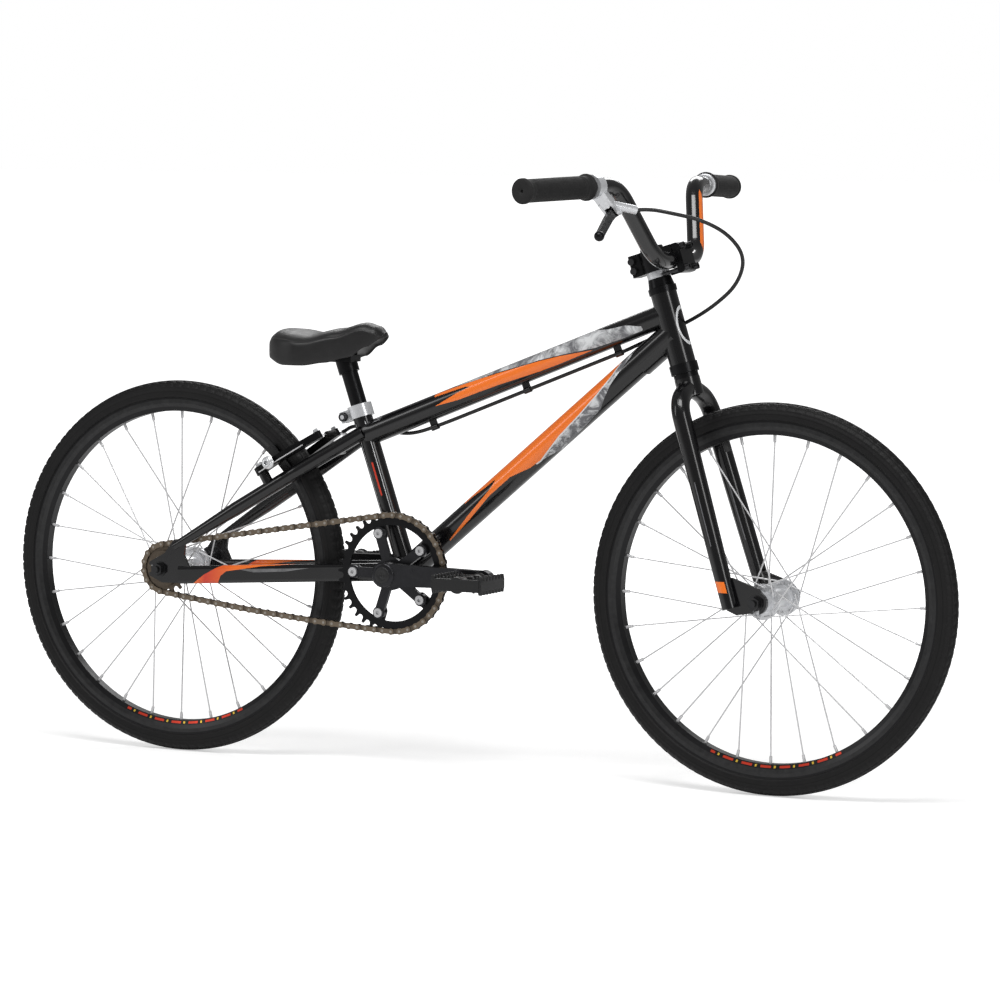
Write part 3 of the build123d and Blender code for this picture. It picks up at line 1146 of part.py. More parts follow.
# ---------------------------------------------------------------- brake lever
def build_lever():
    """The lever's perch on the right of the bar, and the lever that turns in it."""
    end, out = bar_end(RIGHT)
    bar_spot, pivot = end - out * PERCH_FROM_BAR_END, on_steering(*LEVER_PIVOT)
    barrel_end, ball = on_steering(*BARREL_END), on_steering(*LEVER_BALL)
    bar_axis_start = bar_spot - out * 7
    clamp = rod(bar_axis_start, bar_spot + out * 7, BAR_DIAMETER / 2 + 4.5)
    to_ball = (ball - pivot).normalized()
    across = to_ball.cross(bar_spot - pivot).normalized()
    hinge = Plane(origin=pivot, x_dir=to_ball, z_dir=across)
    to_clamp = hinge.to_local_coords(bar_spot)
    heading = degrees(atan2(to_clamp.Y, to_clamp.X))
    reach = (bar_spot - pivot).length
    cheek_outline = make_hull([*Circle(8).edges(), *(Rot(0, 0, heading) * Pos(16, 0) * Circle(8)).edges()])
    body = clamp
    for start in (LEVER_HUB_HALF + EASY, -LEVER_HUB_HALF - EASY - 3):
        body += hinge * Pos(0, 0, start) * extrude(cheek_outline, amount=3)
    width = 2 * (LEVER_HUB_HALF + EASY + 3)
    body += hinge * Rot(0, 0, heading) * Pos((reach + 9) / 2, 0, 0) * Box(reach - 9, 15, width)
    body += rod(pivot + (bar_spot - pivot) * 0.34, barrel_end, 5.5)
    body -= hinge * Pos(0, 0, -LEVER_HUB_HALF - EASY) * Cylinder(9, 2 * (LEVER_HUB_HALF + EASY), align=BASE)
    body += hinge * Cylinder(3, width)
    body -= rod(bar_spot - out * 40, bar_spot + out * 40, BAR_DIAMETER / 2)
    save(largest(body), "brake_perch")

    hub = Cylinder(7.5, 2 * LEVER_HUB_HALF)
    length = (ball - pivot).length
    blade = make_hull([*Circle(6).edges(), *(Pos(0.35 * length, 1) * Circle(5)).edges()])
    tail = make_hull([*(Pos(0.35 * length, 1) * Circle(5)).edges(), *(Pos(length, 0) * Circle(4.5)).edges()])
    lever = hub + Pos(0, 0, -4) * extrude(blade + tail, amount=8)
    lever = lever + Pos(length, 0, 0) * Sphere(6.5)
    lever -= Cylinder(3 + RUNNING, 60)
    save(hinge * lever, "brake_lever")


# --------------------------------------------------------------------- cables
def build_cables():
    """The housing from the lever to the rear brake, and its guides under the top tube."""
    direction = (TOP_TUBE_FRONT - TOP_TUBE_REAR).normalized()
    below = Vector(direction.Z, 0, -direction.X)
    top = top_tube_solid()
    guides, clips = [], []
    for share in GUIDE_SHARES:
        centre = TOP_TUBE_REAR + (TOP_TUBE_FRONT - TOP_TUBE_REAR) * share + below * CABLE_DROP
        clips.append(centre)
        sleeve = rod(centre - direction * 5, centre + direction * 5, CABLE_DIAMETER / 2 + 1.5)
        web = Plane(origin=centre - below * 6, x_dir=direction, z_dir=(0, 1, 0)) * Box(10, 12, 3)
        block = sleeve + web - top
        bore = rod(centre - direction * 9, centre + direction * 9, CABLE_DIAMETER / 2)
        guides.append(largest(block - bore))
    save(group(guides), "cable_guides")
    rear_clip, front_clip = clips[0], clips[-1]
    barrel_end = on_steering(*BARREL_END)
    out = (barrel_end - on_steering(*LEVER_PIVOT)).normalized()
    loop = [barrel_end + out * 1.2, *(rear(x, y, z) for x, y, z in FRONT_LOOP), front_clip + direction * 6]
    path = Spline(*loop, tangents=(out, -direction))
    place = Plane(origin=path @ 0, z_dir=path % 0)
    save(sweep(place * Circle(CABLE_DIAMETER / 2), path=path), "front_cable")
    straight = rod(front_clip + direction * 5.7, rear_clip - direction * 5.7, CABLE_DIAMETER / 2)
    entry = arm_tip(LEFT, -7.5)
    start = rear_clip - direction * 5.7
    bend = Spline(start, *(rear(x, y, z) for x, y, z in REAR_LOOP), entry, tangents=(-direction, (0, -1, 0)))
    place = Plane(origin=bend @ 0, z_dir=bend % 0)
    housing = straight + sweep(place * Circle(CABLE_DIAMETER / 2), path=bend)
    boot_end = arm_tip(LEFT, 5.0 + BOOT_LENGTH + EASY)
    wire = rod(boot_end, arm_tip(RIGHT, 8.0), 0.8)
    save(group([housing, wire]), "rear_cable")


build_wheels()
build_main_tubes()
build_rear_triangle()
build_headset()
build_fork()
build_stem()
build_handlebar()
build_seat()
build_drivetrain()
build_brake()
build_lever()
build_cables()
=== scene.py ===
import json
import math
import bpy
import bmesh
from mathutils import Matrix, Vector


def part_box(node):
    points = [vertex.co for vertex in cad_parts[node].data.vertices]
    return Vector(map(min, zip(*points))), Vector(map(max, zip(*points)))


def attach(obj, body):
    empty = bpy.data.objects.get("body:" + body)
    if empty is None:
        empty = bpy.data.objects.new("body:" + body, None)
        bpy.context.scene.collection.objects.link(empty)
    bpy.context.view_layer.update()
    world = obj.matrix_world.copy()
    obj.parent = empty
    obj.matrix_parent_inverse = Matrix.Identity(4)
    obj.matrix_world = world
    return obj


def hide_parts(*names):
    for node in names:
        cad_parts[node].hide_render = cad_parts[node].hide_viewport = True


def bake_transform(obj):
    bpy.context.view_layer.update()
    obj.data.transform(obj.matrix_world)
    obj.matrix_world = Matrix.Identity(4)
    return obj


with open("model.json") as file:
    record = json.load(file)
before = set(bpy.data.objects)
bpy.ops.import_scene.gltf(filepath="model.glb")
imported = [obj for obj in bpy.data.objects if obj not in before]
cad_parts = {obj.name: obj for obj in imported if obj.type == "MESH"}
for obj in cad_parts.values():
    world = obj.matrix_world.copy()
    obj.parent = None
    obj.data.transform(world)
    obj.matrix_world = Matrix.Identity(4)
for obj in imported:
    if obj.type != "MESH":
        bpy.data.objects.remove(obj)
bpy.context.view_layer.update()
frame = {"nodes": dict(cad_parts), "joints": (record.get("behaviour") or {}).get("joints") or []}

# A 20-inch BMX race bike. Metres; +X forward, +Y left, +Z up.

MM = 0.001


def middle(node):
    lo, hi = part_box(node)
    return (lo + hi) / 2


REAR_AXLE = middle("rear_tyre")
FRONT_AXLE = middle("front_tyre")
TYRE_RADIUS = REAR_AXLE.z
BB = middle("bottom_bracket_shell")
JOINTS = {j["name"]: j for j in frame["joints"]}
CROWN = Vector(JOINTS["steering_turn"]["pos_m"])
HEAD_UP = Vector(JOINTS["steering_turn"]["axis"]).normalized()
HEAD_FORWARD = Vector((HEAD_UP.z, 0, -HEAD_UP.x))
SEAT_UP = Vector(JOINTS["seatpost_slide"]["axis"]).normalized()


def steer(forward, side, height):
    """A point given in millimetres in the steering frame."""
    return CROWN + (HEAD_FORWARD * forward + Vector((0, side, 0)) + HEAD_UP * height) * MM


def rear(x, y, z):
    """A point given in millimetres from the rear axle."""
    return REAR_AXLE + Vector((x, y, z)) * MM


# ------------------------------------------------------------ shader helpers
class Value:
    """A number in a material's node tree that adds, multiplies and compares."""

    def __init__(self, tree, socket):
        self.tree, self.socket = tree, socket

    def _math(self, operation, *others, clamp=False):
        node = self.tree.nodes.new("ShaderNodeMath")
        node.operation = operation
        node.use_clamp = clamp
        for slot, item in enumerate((self, *others)):
            if isinstance(item, Value):
                self.tree.links.new(item.socket, node.inputs[slot])
            else:
                node.inputs[slot].default_value = item
        return Value(self.tree, node.outputs[0])

    def __add__(self, other):
        return self._math("ADD", other)

    def __sub__(self, other):
        return self._math("SUBTRACT", other)

    def __mul__(self, other):
        return self._math("MULTIPLY", other)

    def __truediv__(self, other):
        return self._math("DIVIDE", other)

    def above(self, other):
        return self._math("GREATER_THAN", other)

    def below(self, other):
        return self._math("LESS_THAN", other)

    def between(self, low, high):
        return self.above(low) * self.below(high)

    def either(self, other):
        return self._math("MAXIMUM", other)

    def at_most(self, other):
        return self._math("MINIMUM", other)

    def size(self):
        return self._math("ABSOLUTE")

    def sine(self):
        return self._math("SINE")

    def turn(self, other):
        return self._math("ARCTAN2", other)

    def root(self):
        return self._math("SQRT")

    def fraction(self):
        return self._math("FRACT")

    def inverse(self):
        return self * -1.0 + 1.0

    def curve(self, points, low, high):
        """A broken line through (position, height) points, for heights between low and high."""
        first, last = points[0][0], points[-1][0]
        ramp = self.tree.nodes.new("ShaderNodeValToRGB")
        elements = ramp.color_ramp.elements
        while len(elements) < len(points):
            elements.new(0.5)
        for element, (position, height) in zip(elements, points):
            element.position = (position - first) / (last - first)
        for element, (position, height) in zip(elements, points):
            level = (height - low) / (high - low)
            element.color = (level, level, level, 1)
        share = (self - first) / (last - first)
        self.tree.links.new(share.socket, ramp.inputs[0])
        return Value(self.tree, ramp.outputs[0]) * (high - low) + low


class Skin:
    """A material: a Principled shader with a few shortcuts for its procedural inputs."""

    def __init__(self, name, color, rough, metal=0.0, coat=0.0, coat_rough=0.05, sheen=0.0, specular=0.5):
        self.material = bpy.data.materials.new(name)
        self.material.use_nodes = True
        self.tree = self.material.node_tree
        self.shader = self.tree.nodes["Principled BSDF"]
        self.set("Base Color", (*color, 1))
        self.set("Roughness", rough)
        self.set("Metallic", metal)
        self.set("Coat Weight", coat)
        self.set("Coat Roughness", coat_rough)
        self.set("Sheen Weight", sheen)
        self.set("Specular IOR Level", specular)
        self.color, self.rough = color, rough
        self.place = self.tree.nodes.new("ShaderNodeTexCoord").outputs["Object"]

    def set(self, name, value):
        self.shader.inputs[name].default_value = value

    def axes(self):
        split = self.tree.nodes.new("ShaderNodeSeparateXYZ")
        self.tree.links.new(self.place, split.inputs[0])
        return [Value(self.tree, socket) for socket in split.outputs]

    def noise(self, scale, detail=3.0, rough=0.5, stretch=None, distortion=0.0):
        """Noise about one bump per 1/scale metres."""
        node = self.tree.nodes.new("ShaderNodeTexNoise")
        node.inputs["Scale"].default_value = scale
        node.inputs["Detail"].default_value = detail
        node.inputs["Roughness"].default_value = rough
        node.inputs["Distortion"].default_value = distortion
        source = self.place
        if stretch:
            mapping = self.tree.nodes.new("ShaderNodeMapping")
            mapping.inputs["Scale"].default_value = stretch
            self.tree.links.new(source, mapping.inputs[0])
            source = mapping.outputs[0]
        self.tree.links.new(source, node.inputs["Vector"])
        return Value(self.tree, node.outputs["Fac"])

    def cells(self, scale, feature="F1"):
        node = self.tree.nodes.new("ShaderNodeTexVoronoi")
        node.feature = feature
        node.inputs["Scale"].default_value = scale
        self.tree.links.new(self.place, node.inputs["Vector"])
        return Value(self.tree, node.outputs["Distance"])

    def mix(self, amount, first, second):
        node = self.tree.nodes.new("ShaderNodeMix")
        node.data_type = "RGBA"
        self.tree.links.new(amount.socket, node.inputs[0])
        for slot, item in ((6, first), (7, second)):
            if isinstance(item, tuple):
                node.inputs[slot].default_value = (*item[:3], 1)
            else:
                self.tree.links.new(item, node.inputs[slot])
        return node.outputs[2]

    def paint(self, color_socket):
        self.tree.links.new(color_socket, self.shader.inputs["Base Color"])

    def roughen(self, value):
        self.tree.links.new(value.socket, self.shader.inputs["Roughness"])

    def bump(self, value, height, strength=1.0):
        """height is in metres."""
        node = self.tree.nodes.new("ShaderNodeBump")
        node.inputs["Strength"].default_value = strength
        node.inputs["Distance"].default_value = height
        self.tree.links.new(value.socket, node.inputs["Height"])
        self.tree.links.new(node.outputs[0], self.shader.inputs["Normal"])

    def speckle(self, amount=0.25, scale=60.0):
        """Vary the colour and roughness a little, as handling and dust do."""
        cloud = self.noise(scale, 4.0, 0.6)
        light = tuple(min(1.0, c * (1 + amount) + 0.004) for c in self.color)
        dark = tuple(c * (1 - amount) for c in self.color)
        self.paint(self.mix(cloud, dark, light))
        self.roughen((cloud - 0.5) * (amount * 0.6) + self.rough)
        return cloud


# ------------------------------------------------------------------ materials
ORANGE = (0.95, 0.20, 0.022)
RED = (0.62, 0.045, 0.02)
BLACK = (0.0032, 0.003, 0.0036)
PALE = (0.72, 0.73, 0.74)
SMOKE = (0.15, 0.15, 0.16)


def gloss_paint(name):
    skin = Skin(name, BLACK, 0.25, coat=0.6, coat_rough=0.04, specular=0.3)
    skin.bump(skin.noise(900.0, 2.0), 0.00002, 0.5)
    return skin


def smoky(skin, dark_share=0.5):
    """Grey smoke between near white and near black."""
    swirl = skin.noise(38.0, 6.0, 0.72, distortion=1.4)
    shade = swirl.curve([(0.0, 0.0), (0.30 + dark_share * 0.2, 0.0), (0.62, 1.0), (1.0, 1.0)], 0.0, 1.0)
    return skin.mix(shade, SMOKE, PALE)


def tube_coordinates(skin, start, end):
    """Millimetres along a tube in the side plane, and across it, upwards."""
    x, _, z = skin.axes()
    along = (end - start).normalized()
    u = (x - start.x) * (along.x / MM) + (z - start.z) * (along.z / MM)
    v = (x - start.x) * (-along.z / MM) + (z - start.z) * (along.x / MM)
    return u, v


def layered(skin, base, layers):
    """Stack (mask, colour) layers on a base colour."""
    color = base
    for mask, paint in layers:
        color = skin.mix(mask, color, paint)
    skin.paint(color)


def top_tube_paint():
    skin = gloss_paint("top_tube_paint")
    u, v = tube_coordinates(skin, rear(284.7, 0, 188.5), rear(719.0, 0, 360.0))
    reach = 20.0
    crest = u.curve([(90, 15), (130, 14.5), (190, 11), (220, 8.5), (280, 3), (310, -1), (356, -9.5), (470, -9.5)],
                    -reach, reach)
    keel = u.curve([(90, 4), (117, -1.0), (152, -4.5), (185, -5), (215, -6), (275, -9.5), (306, -10.0),
                    (356, -9.5), (470, -9.5)], -reach, reach)
    blade = v.below(crest) * v.above(keel) * u.between(117, 356)
    spear_top = u.curve([(60, 14), (165, 8.5), (173, 6.0), (180, 6.0)], -reach, reach)
    spear_low = u.curve([(60, -20), (100, -2), (122, 0.0), (153, 5), (173, 6.0), (180, 6.0)], -reach, reach)
    spear = v.below(spear_top) * v.above(spear_low) * u.between(60, 173)
    haze_low = u.curve([(150, 14), (220, 9.0), (281, 4), (311, 0), (360, -8), (397, -10), (430, -10), (470, 12)],
                       -reach, reach)
    haze_top = u.curve([(150, 16), (360, 16), (385, 8), (412, 4.0), (430, -4), (470, -12)], -reach, reach)
    haze = v.above(haze_low) * v.below(haze_top) * u.between(150, 432)
    rim_line = (v - crest).between(0.0, 1.1) * u.between(200, 352)
    layers = [(haze, smoky(skin)), (blade, ORANGE), (rim_line, BLACK), (spear, BLACK)]
    layered(skin, BLACK, layers)
    return skin.material


def down_tube_paint():
    skin = gloss_paint("down_tube_paint")
    u, v = tube_coordinates(skin, rear(346, 0, 8.0), rear(728.5, 0, 335.6))
    reach = 24.0
    low = u.curve([(80, -10), (125, -6.5), (168, -1), (207, -1), (236, -9), (254, -10.5), (297, -3.5),
                   (337, -0.5), (374, 4), (405, 9.5), (425, 16)], -reach, reach)
    high = u.curve([(80, -9), (129, -1), (172, 5), (185, 9), (200, 24), (425, 24)], -reach, reach)
    blade = v.below(high) * v.above(low) * u.between(83, 425)
    crest = u.curve([(120, 14.5), (143, 14.5), (169, 11.5), (196, 10.5), (200, 10.5)], -reach, reach)
    upper = v.above(crest) * u.between(130, 200)
    haze_low = u.curve([(240, -9), (283, -16), (330, -15), (363, -13), (397, 1), (435, 10), (470, 20)],
                       -reach, reach)
    haze = v.below(low - 1.0) * v.above(haze_low) * u.between(246, 470)
    edge = (v - low).between(-1.5, 0.0) * u.between(246, 424)
    layers = [(haze, smoky(skin, 0.9)), (edge, PALE), (blade.either(upper), ORANGE)]
    layered(skin, BLACK, layers)
    return skin.material


def chainstay_paint():
    skin = gloss_paint("chainstay_paint")
    x, _, z = skin.axes()
    u = (x - REAR_AXLE.x) / MM
    v = (z - REAR_AXLE.z) / MM - u * 0.054
    reach = 20.0
    left_edge = v.curve([(-20, 52), (-8, 68), (0, 84), (8, 104), (12, 110)], 0.0, 300.0)
    right_edge = v.curve([(-20, 88), (-10, 92), (-4, 100), (2, 150), (6, 250), (12, 250)], 0.0, 300.0)
    flame = u.above(left_edge) * u.below(right_edge) * v.between(-20, 5.5)
    red_share = u.curve([(50, 0.0), (70, 1.0), (112, 0.15), (250, 0.0)], 0.0, 1.0)
    hot = skin.mix(red_share, ORANGE, RED)
    haze_low = u.curve([(118, -1.5), (140, -6.0), (185, -5.5), (218, -1.5)], -reach, reach)
    haze = v.above(haze_low) * v.below(-1.5) * u.between(118, 218)
    grey = skin.mix(skin.noise(60.0, 5.0, 0.7), BLACK, (0.30, 0.30, 0.31))
    layered(skin, BLACK, [(haze, grey), (flame, hot)])
    return skin.material


def seat_tube_paint():
    skin = gloss_paint("seat_tube_paint")
    u, v = tube_coordinates(skin, BB, BB + SEAT_UP)
    line = v.size().between(6.8, 7.5) * u.between(70, 205)
    mark = v.between(-2.2, 0.2) * u.between(104, 150)
    layered(skin, BLACK, [(line, PALE), (mark, RED)])
    return skin.material


def head_tube_paint():
    """A plain oval ring on the front of the head tube."""
    skin = gloss_paint("head_tube_paint")
    x, y, z = skin.axes()
    height = (x - CROWN.x) * (HEAD_UP.x / MM) + (z - CROWN.z) * (HEAD_UP.z / MM) - 66.0
    forward = (x - CROWN.x) * (HEAD_FORWARD.x / MM) + (z - CROWN.z) * (HEAD_FORWARD.z / MM)
    around = (y / MM).turn(forward) * 17.0
    far = (around * around / (14.0 * 14.0) + height * height / (26.0 * 26.0)).root()
    layered(skin, BLACK, [(far.between(0.82, 1.0) * forward.above(0.0), PALE)])
    return skin.material


def fork_paint():
    """A plain orange band low on the outside of each leg, and a thin grey line above it."""
    skin = gloss_paint("fork_paint_coat")
    x, y, z = skin.axes()
    rise = (z - REAR_AXLE.z) / MM
    forward = (x - CROWN.x) * (HEAD_FORWARD.x / MM) + (z - CROWN.z) * (HEAD_FORWARD.z / MM)
    band = rise.between(12, 26) * forward.between(-8.5, 5.0)
    line = rise.between(70, 150) * forward.between(-0.6, 0.6)
    outside = (y / MM).size().above(57)
    layered(skin, BLACK, [(band * outside, ORANGE), (line, SMOKE)])
    return skin.material


def handlebar_paint():
    """Gloss black with a thin orange line up the front of the left upright."""
    skin = Skin("handlebar_gloss", BLACK, 0.2, coat=0.8, coat_rough=0.10, specular=0.4)
    x, y, z = skin.axes()
    forward = (x - CROWN.x) * (HEAD_FORWARD.x / MM) + (z - CROWN.z) * (HEAD_FORWARD.z / MM)
    line = forward.above(29.5 + 9.7) * (y / MM).between(66, 108)
    layered(skin, BLACK, [(line, ORANGE)])
    return skin.material


def plain_paint():
    return gloss_paint("frame_black").material


def anodised(name, color, rough=0.36, metal=0.75):
    skin = Skin(name, color, rough, metal=metal, specular=0.5)
    skin.speckle(0.25, 90.0)
    skin.bump(skin.noise(1400.0, 2.0), 0.00003, 0.6)
    return skin.material


def polished(name, color=(0.80, 0.81, 0.83), rough=0.24, metal=0.55):
    """Bright metal: part mirror, part frosted, with a faint grain."""
    skin = Skin(name, color, rough, metal=metal)
    grain = skin.noise(420.0, 3.0, 0.6)
    skin.paint(skin.mix(grain, tuple(c * 0.88 for c in color), color))
    skin.roughen(grain * 0.1 + (rough - 0.04))
    return skin.material


def steel_chain(name, chainline=None):
    """Oiled bronze steel. On the chain, light and shade are painted by how far each layer stands out: the rollers
    between the inner plates are painted near black as painted shade, and the outer plates are painted paler than the
    inner ones and the rollers, the pin ends paler still, as painted light.
    """
    skin = Skin(name, (0.14, 0.11, 0.085), 0.36, metal=0.7)
    cloud = skin.noise(220.0, 4.0, 0.7)
    color = skin.mix(cloud, (0.055, 0.042, 0.032), (0.17, 0.135, 0.10))
    if chainline is not None:
        y = skin.axes()[1]
        # Painted shade and light: near black in the middle of the chain, the inner plates in the plain colour, the
        # outer plates and pin ends painted paler.
        out = (y / MM - chainline).size()
        color = skin.mix(out.above(4.0), skin.mix(out.above(3.3), skin.mix(out.below(2.2), color, (0.012, 0.010, 0.008)),
                                                  (0.19, 0.15, 0.11)), (0.36, 0.33, 0.29))
    skin.paint(color)
    skin.roughen(cloud * 0.3 + 0.22)
    return skin.material


def moulded(name, color, rough=0.6, grain=0.00008, scale=700.0):
    skin = Skin(name, color, rough, specular=0.4)
    skin.speckle(0.2, 50.0)
    skin.bump(skin.noise(scale, 3.0, 0.6), grain, 0.8)
    return skin.material


def rubber(name, color, rough=0.75):
    skin = Skin(name, color, rough, specular=0.3)
    cloud = skin.speckle(0.35, 24.0)
    fine = skin.noise(1100.0, 2.0)
    skin.bump(fine * 0.6 + cloud * 0.4, 0.0001, 0.7)
    return skin.material


def rim_skin(name, centre):
    """Black anodising, a worn brake track, and short red and yellow dashes near the inner edge."""
    skin = Skin(name, (0.012, 0.012, 0.013), 0.34, metal=0.6)
    x, y, z = skin.axes()
    dx, dz = (x - centre.x) / MM, (z - centre.z) / MM
    radius = (dx * dx + dz * dz).root()
    angle = dz.turn(dx) * (180 / math.pi)
    scuff = skin.noise(90.0, 5.0, 0.7)
    track = radius.between(216, 226)
    base = skin.mix(track * scuff * 0.35, (0.012, 0.012, 0.013), (0.12, 0.12, 0.12))
    low = angle.between(-112, -62) * radius.between(211.5, 214.5)
    red = low * (angle * 0.14).fraction().between(0.0, 0.55)
    yellow = low * (angle * 0.14).fraction().between(0.7, 0.8)
    layered(skin, base, [(red, RED), (yellow, (0.75, 0.5, 0.05))])
    skin.roughen(scuff * 0.25 + 0.22)
    return skin.material


def tyre_skin(name, centre):
    skin = Skin(name, (0.007, 0.007, 0.0075), 0.6, specular=0.22)
    x, y, z = skin.axes()
    dx, dz = (x - centre.x) / MM, (z - centre.z) / MM
    radius = (dx * dx + dz * dz).root()
    dust = skin.noise(45.0, 5.0, 0.7)
    band = radius.between(236.0, 237.2)
    base = skin.mix(dust, (0.0045, 0.0045, 0.005), (0.013, 0.0125, 0.0125))
    layered(skin, base, [(band * 0.6, (0.002, 0.002, 0.002))])
    skin.roughen(dust * 0.2 + 0.46)
    rings = (radius * 1.2).sine() * radius.below(240.0)
    skin.bump(rings * 0.5 + skin.noise(1500.0, 2.0) * 0.5, 0.00012, 0.6)
    return skin.material


def saddle_skin():
    skin = Skin("saddle_cover_skin", (0.010, 0.0098, 0.010), 0.42, specular=0.4, sheen=0.04)
    x, y, z = skin.axes()
    cloud = skin.noise(70.0, 4.0, 0.6)
    pebble = skin.cells(1100.0)
    skin.paint(skin.mix(cloud, (0.007, 0.0068, 0.007), (0.016, 0.0155, 0.016)))
    skin.roughen(cloud * 0.2 + 0.32)
    skin.bump(pebble, 0.00012, 0.7)
    return skin.material


def grip_skin():
    skin = Skin("grip_rubber_skin", (0.015, 0.0148, 0.015), 0.7, specular=0.22, sheen=0.05)
    cloud = skin.speckle(0.3, 120.0)
    skin.bump(skin.noise(900.0, 3.0) * 0.5 + cloud * 0.5, 0.0002, 0.6)
    return skin.material


black_alloy = anodised("black_alloy_skin", (0.010, 0.010, 0.011), 0.3)
grey_alloy = anodised("grey_crank_skin", (0.03, 0.03, 0.033), 0.3, 0.8)
silver = polished("silver_alloy_skin")
bright = polished("bright_steel_skin", (0.66, 0.66, 0.67), 0.26, 0.65)
spoke_steel = polished("spoke_steel_skin", (0.72, 0.72, 0.73), 0.3, 0.3)
dark_steel = anodised("dark_steel_skin", (0.05, 0.05, 0.052), 0.34, 0.9)
plastic = moulded("pedal_plastic_skin", (0.010, 0.010, 0.0105), 0.42)
housing = moulded("housing_skin", (0.012, 0.012, 0.0125), 0.36, 0.00003)
boot_rubber = rubber("boot_rubber_skin", (0.014, 0.014, 0.014), 0.6)
pad_rubber = rubber("pad_rubber_skin", (0.02, 0.02, 0.021), 0.8)
tube_rubber = rubber("tube_rubber_skin", (0.03, 0.03, 0.03))
frame_black = plain_paint()

NODE_SKINS = {
    "handlebar": handlebar_paint(), "top_tube": top_tube_paint(), "down_tube": down_tube_paint(), "chainstays": chainstay_paint(),
    "seat_tube": seat_tube_paint(), "head_tube": head_tube_paint(), "fork": fork_paint(),
    "bottom_bracket_shell": frame_black, "seatstays": frame_black, "bridges_and_brake_studs": frame_black,
    "dropouts": frame_black, "cable_guides": frame_black, "chain": steel_chain("chain_links", -43.0),
    "front_rim": rim_skin("front_rim_skin", FRONT_AXLE), "rear_rim": rim_skin("rear_rim_skin", REAR_AXLE),
    "crank_arm_right": grey_alloy, "crank_arm_left": grey_alloy, "pedal_right": plastic, "pedal_left": plastic,
    "front_inner_tube": tube_rubber, "rear_inner_tube": tube_rubber,
    "freewheel": steel_chain("freewheel_steel"), "brake_pad_right": pad_rubber, "brake_pad_left": pad_rubber,
}
for names, skin in (
    (("headset_cups", "headset_cover", "stem", "stem_faceplate", "bottom_bracket", "brake_lever",
      "brake_arm_right", "brake_arm_left", "seatpost", "chainring", "saddle_clamp"), black_alloy),
    (("headset_spacer", "seat_clamp", "front_hub", "rear_hub", "brake_perch"), silver),
    (("headset_bearings", "crank_bolts", "pedal_axles"), bright),
    (("front_spokes", "rear_spokes"), spoke_steel),
    (("steerer", "stem_bolts", "crank_spindle", "front_axle", "rear_axle", "rear_axle_nuts",
      "front_axle_nuts"), dark_steel),
):
    for name in names:
        NODE_SKINS[name] = skin
for name, skin in NODE_SKINS.items():
    mesh = frame["nodes"][name].data
    for slot in range(len(mesh.materials)):
        mesh.materials[slot] = skin


# --------------------------------------------------------------- mesh helpers
def solid(name, vertices, faces, skin, smooth=True):
    mesh = bpy.data.meshes.new(name)
    mesh.from_pydata([tuple(v) for v in vertices], [], faces)
    mesh.update()
    if smooth:
        mesh.polygons.foreach_set("use_smooth", [True] * len(mesh.polygons))
    mesh.materials.append(skin)
    piece = bpy.data.objects.new(name, mesh)
    bpy.context.scene.collection.objects.link(piece)
    return piece


def grid_faces(rows, columns, wrap_rows, wrap_columns):
    """Quads between neighbouring points of a grid stored row by row."""
    faces = []
    for i in range(rows if wrap_rows else rows - 1):
        for j in range(columns if wrap_columns else columns - 1):
            a, b = i * columns, ((i + 1) % rows) * columns
            k = (j + 1) % columns
            faces.append((a + j, b + j, b + k, a + k))
    return faces


def finish_piece(piece, body, slot, *nodes):
    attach(piece, body)
    if nodes:
        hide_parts(*nodes)
    return piece


def apply_modifiers(piece):
    """Bake the modifiers into the mesh."""
    depsgraph = bpy.context.evaluated_depsgraph_get()
    mesh = bpy.data.meshes.new_from_object(piece.evaluated_get(depsgraph))
    piece.modifiers.clear()
    piece.data = mesh


def smooth_tube(name, points, radius, skin, weights=None):
    """A round tube on a NURBS line through control points, as a mesh."""
    curve = bpy.data.curves.new(name + "_line", "CURVE")
    curve.dimensions = "3D"
    spline = curve.splines.new("NURBS")
    spline.points.add(len(points) - 1)
    for control, point in zip(spline.points, points):
        control.co = (*point, 1)
    spline.use_endpoint_u = True
    spline.order_u = 3
    curve.resolution_u = 10
    curve.bevel_depth = radius
    curve.bevel_resolution = 5
    curve.use_fill_caps = True
    carrier = bpy.data.objects.new(name + "_line", curve)
    bpy.context.scene.collection.objects.link(carrier)
    mesh = bpy.data.meshes.new_from_object(carrier.evaluated_get(bpy.context.evaluated_depsgraph_get()))
    bpy.data.objects.remove(carrier)
    mesh.name = name
    mesh.materials.clear()
    mesh.materials.append(skin)
    mesh.polygons.foreach_set("use_smooth", [True] * len(mesh.polygons))
    piece = bpy.data.objects.new(name, mesh)
    bpy.context.scene.collection.objects.link(piece)
    return piece


def lathe(name, origin, axis, profile, skin, segments=48):
    """A turned piece: profile is (distance along the axis, radius) in millimetres."""
    axis = axis.normalized()
    side = axis.orthogonal().normalized()
    other = axis.cross(side)
    vertices = []
    for along, radius in profile:
        for k in range(segments):
            angle = 2 * math.pi * k / segments
            offset = side * math.cos(angle) + other * math.sin(angle)
            vertices.append(origin + (axis * along + offset * radius) * MM)
    rows = len(profile)
    faces = grid_faces(rows, segments, False, True)
    faces = [tuple(reversed(face)) for face in faces]
    faces.append(tuple(range(segments)))
    faces.append(tuple(reversed(range((rows - 1) * segments, rows * segments))))
    return solid(name, vertices, faces, skin)


# ---------------------------------------------------------------------- tyres
def tread_relief(turn, across):
    """Height of the tread from 0 to 1: turn counts blocks round the tyre, across is 0 at the crown, 1 at the edge."""
    if across > 1.0:
        return 0.0
    if across < 0.16:
        return 1.0 if (turn % 1.0) < 0.9 else 0.55
    lean = turn + across * 0.8
    if across < 0.55:
        in_block = (lean * 1.0) % 1.0 < 0.72
        gutter = 0.20 < across < 0.26
        return 0.0 if gutter or not in_block else 1.0
    gutter = 0.55 <= across < 0.61
    in_block = (turn * 1.0 + 0.35) % 1.0 < 0.78
    return 0.0 if gutter or not in_block else 0.85


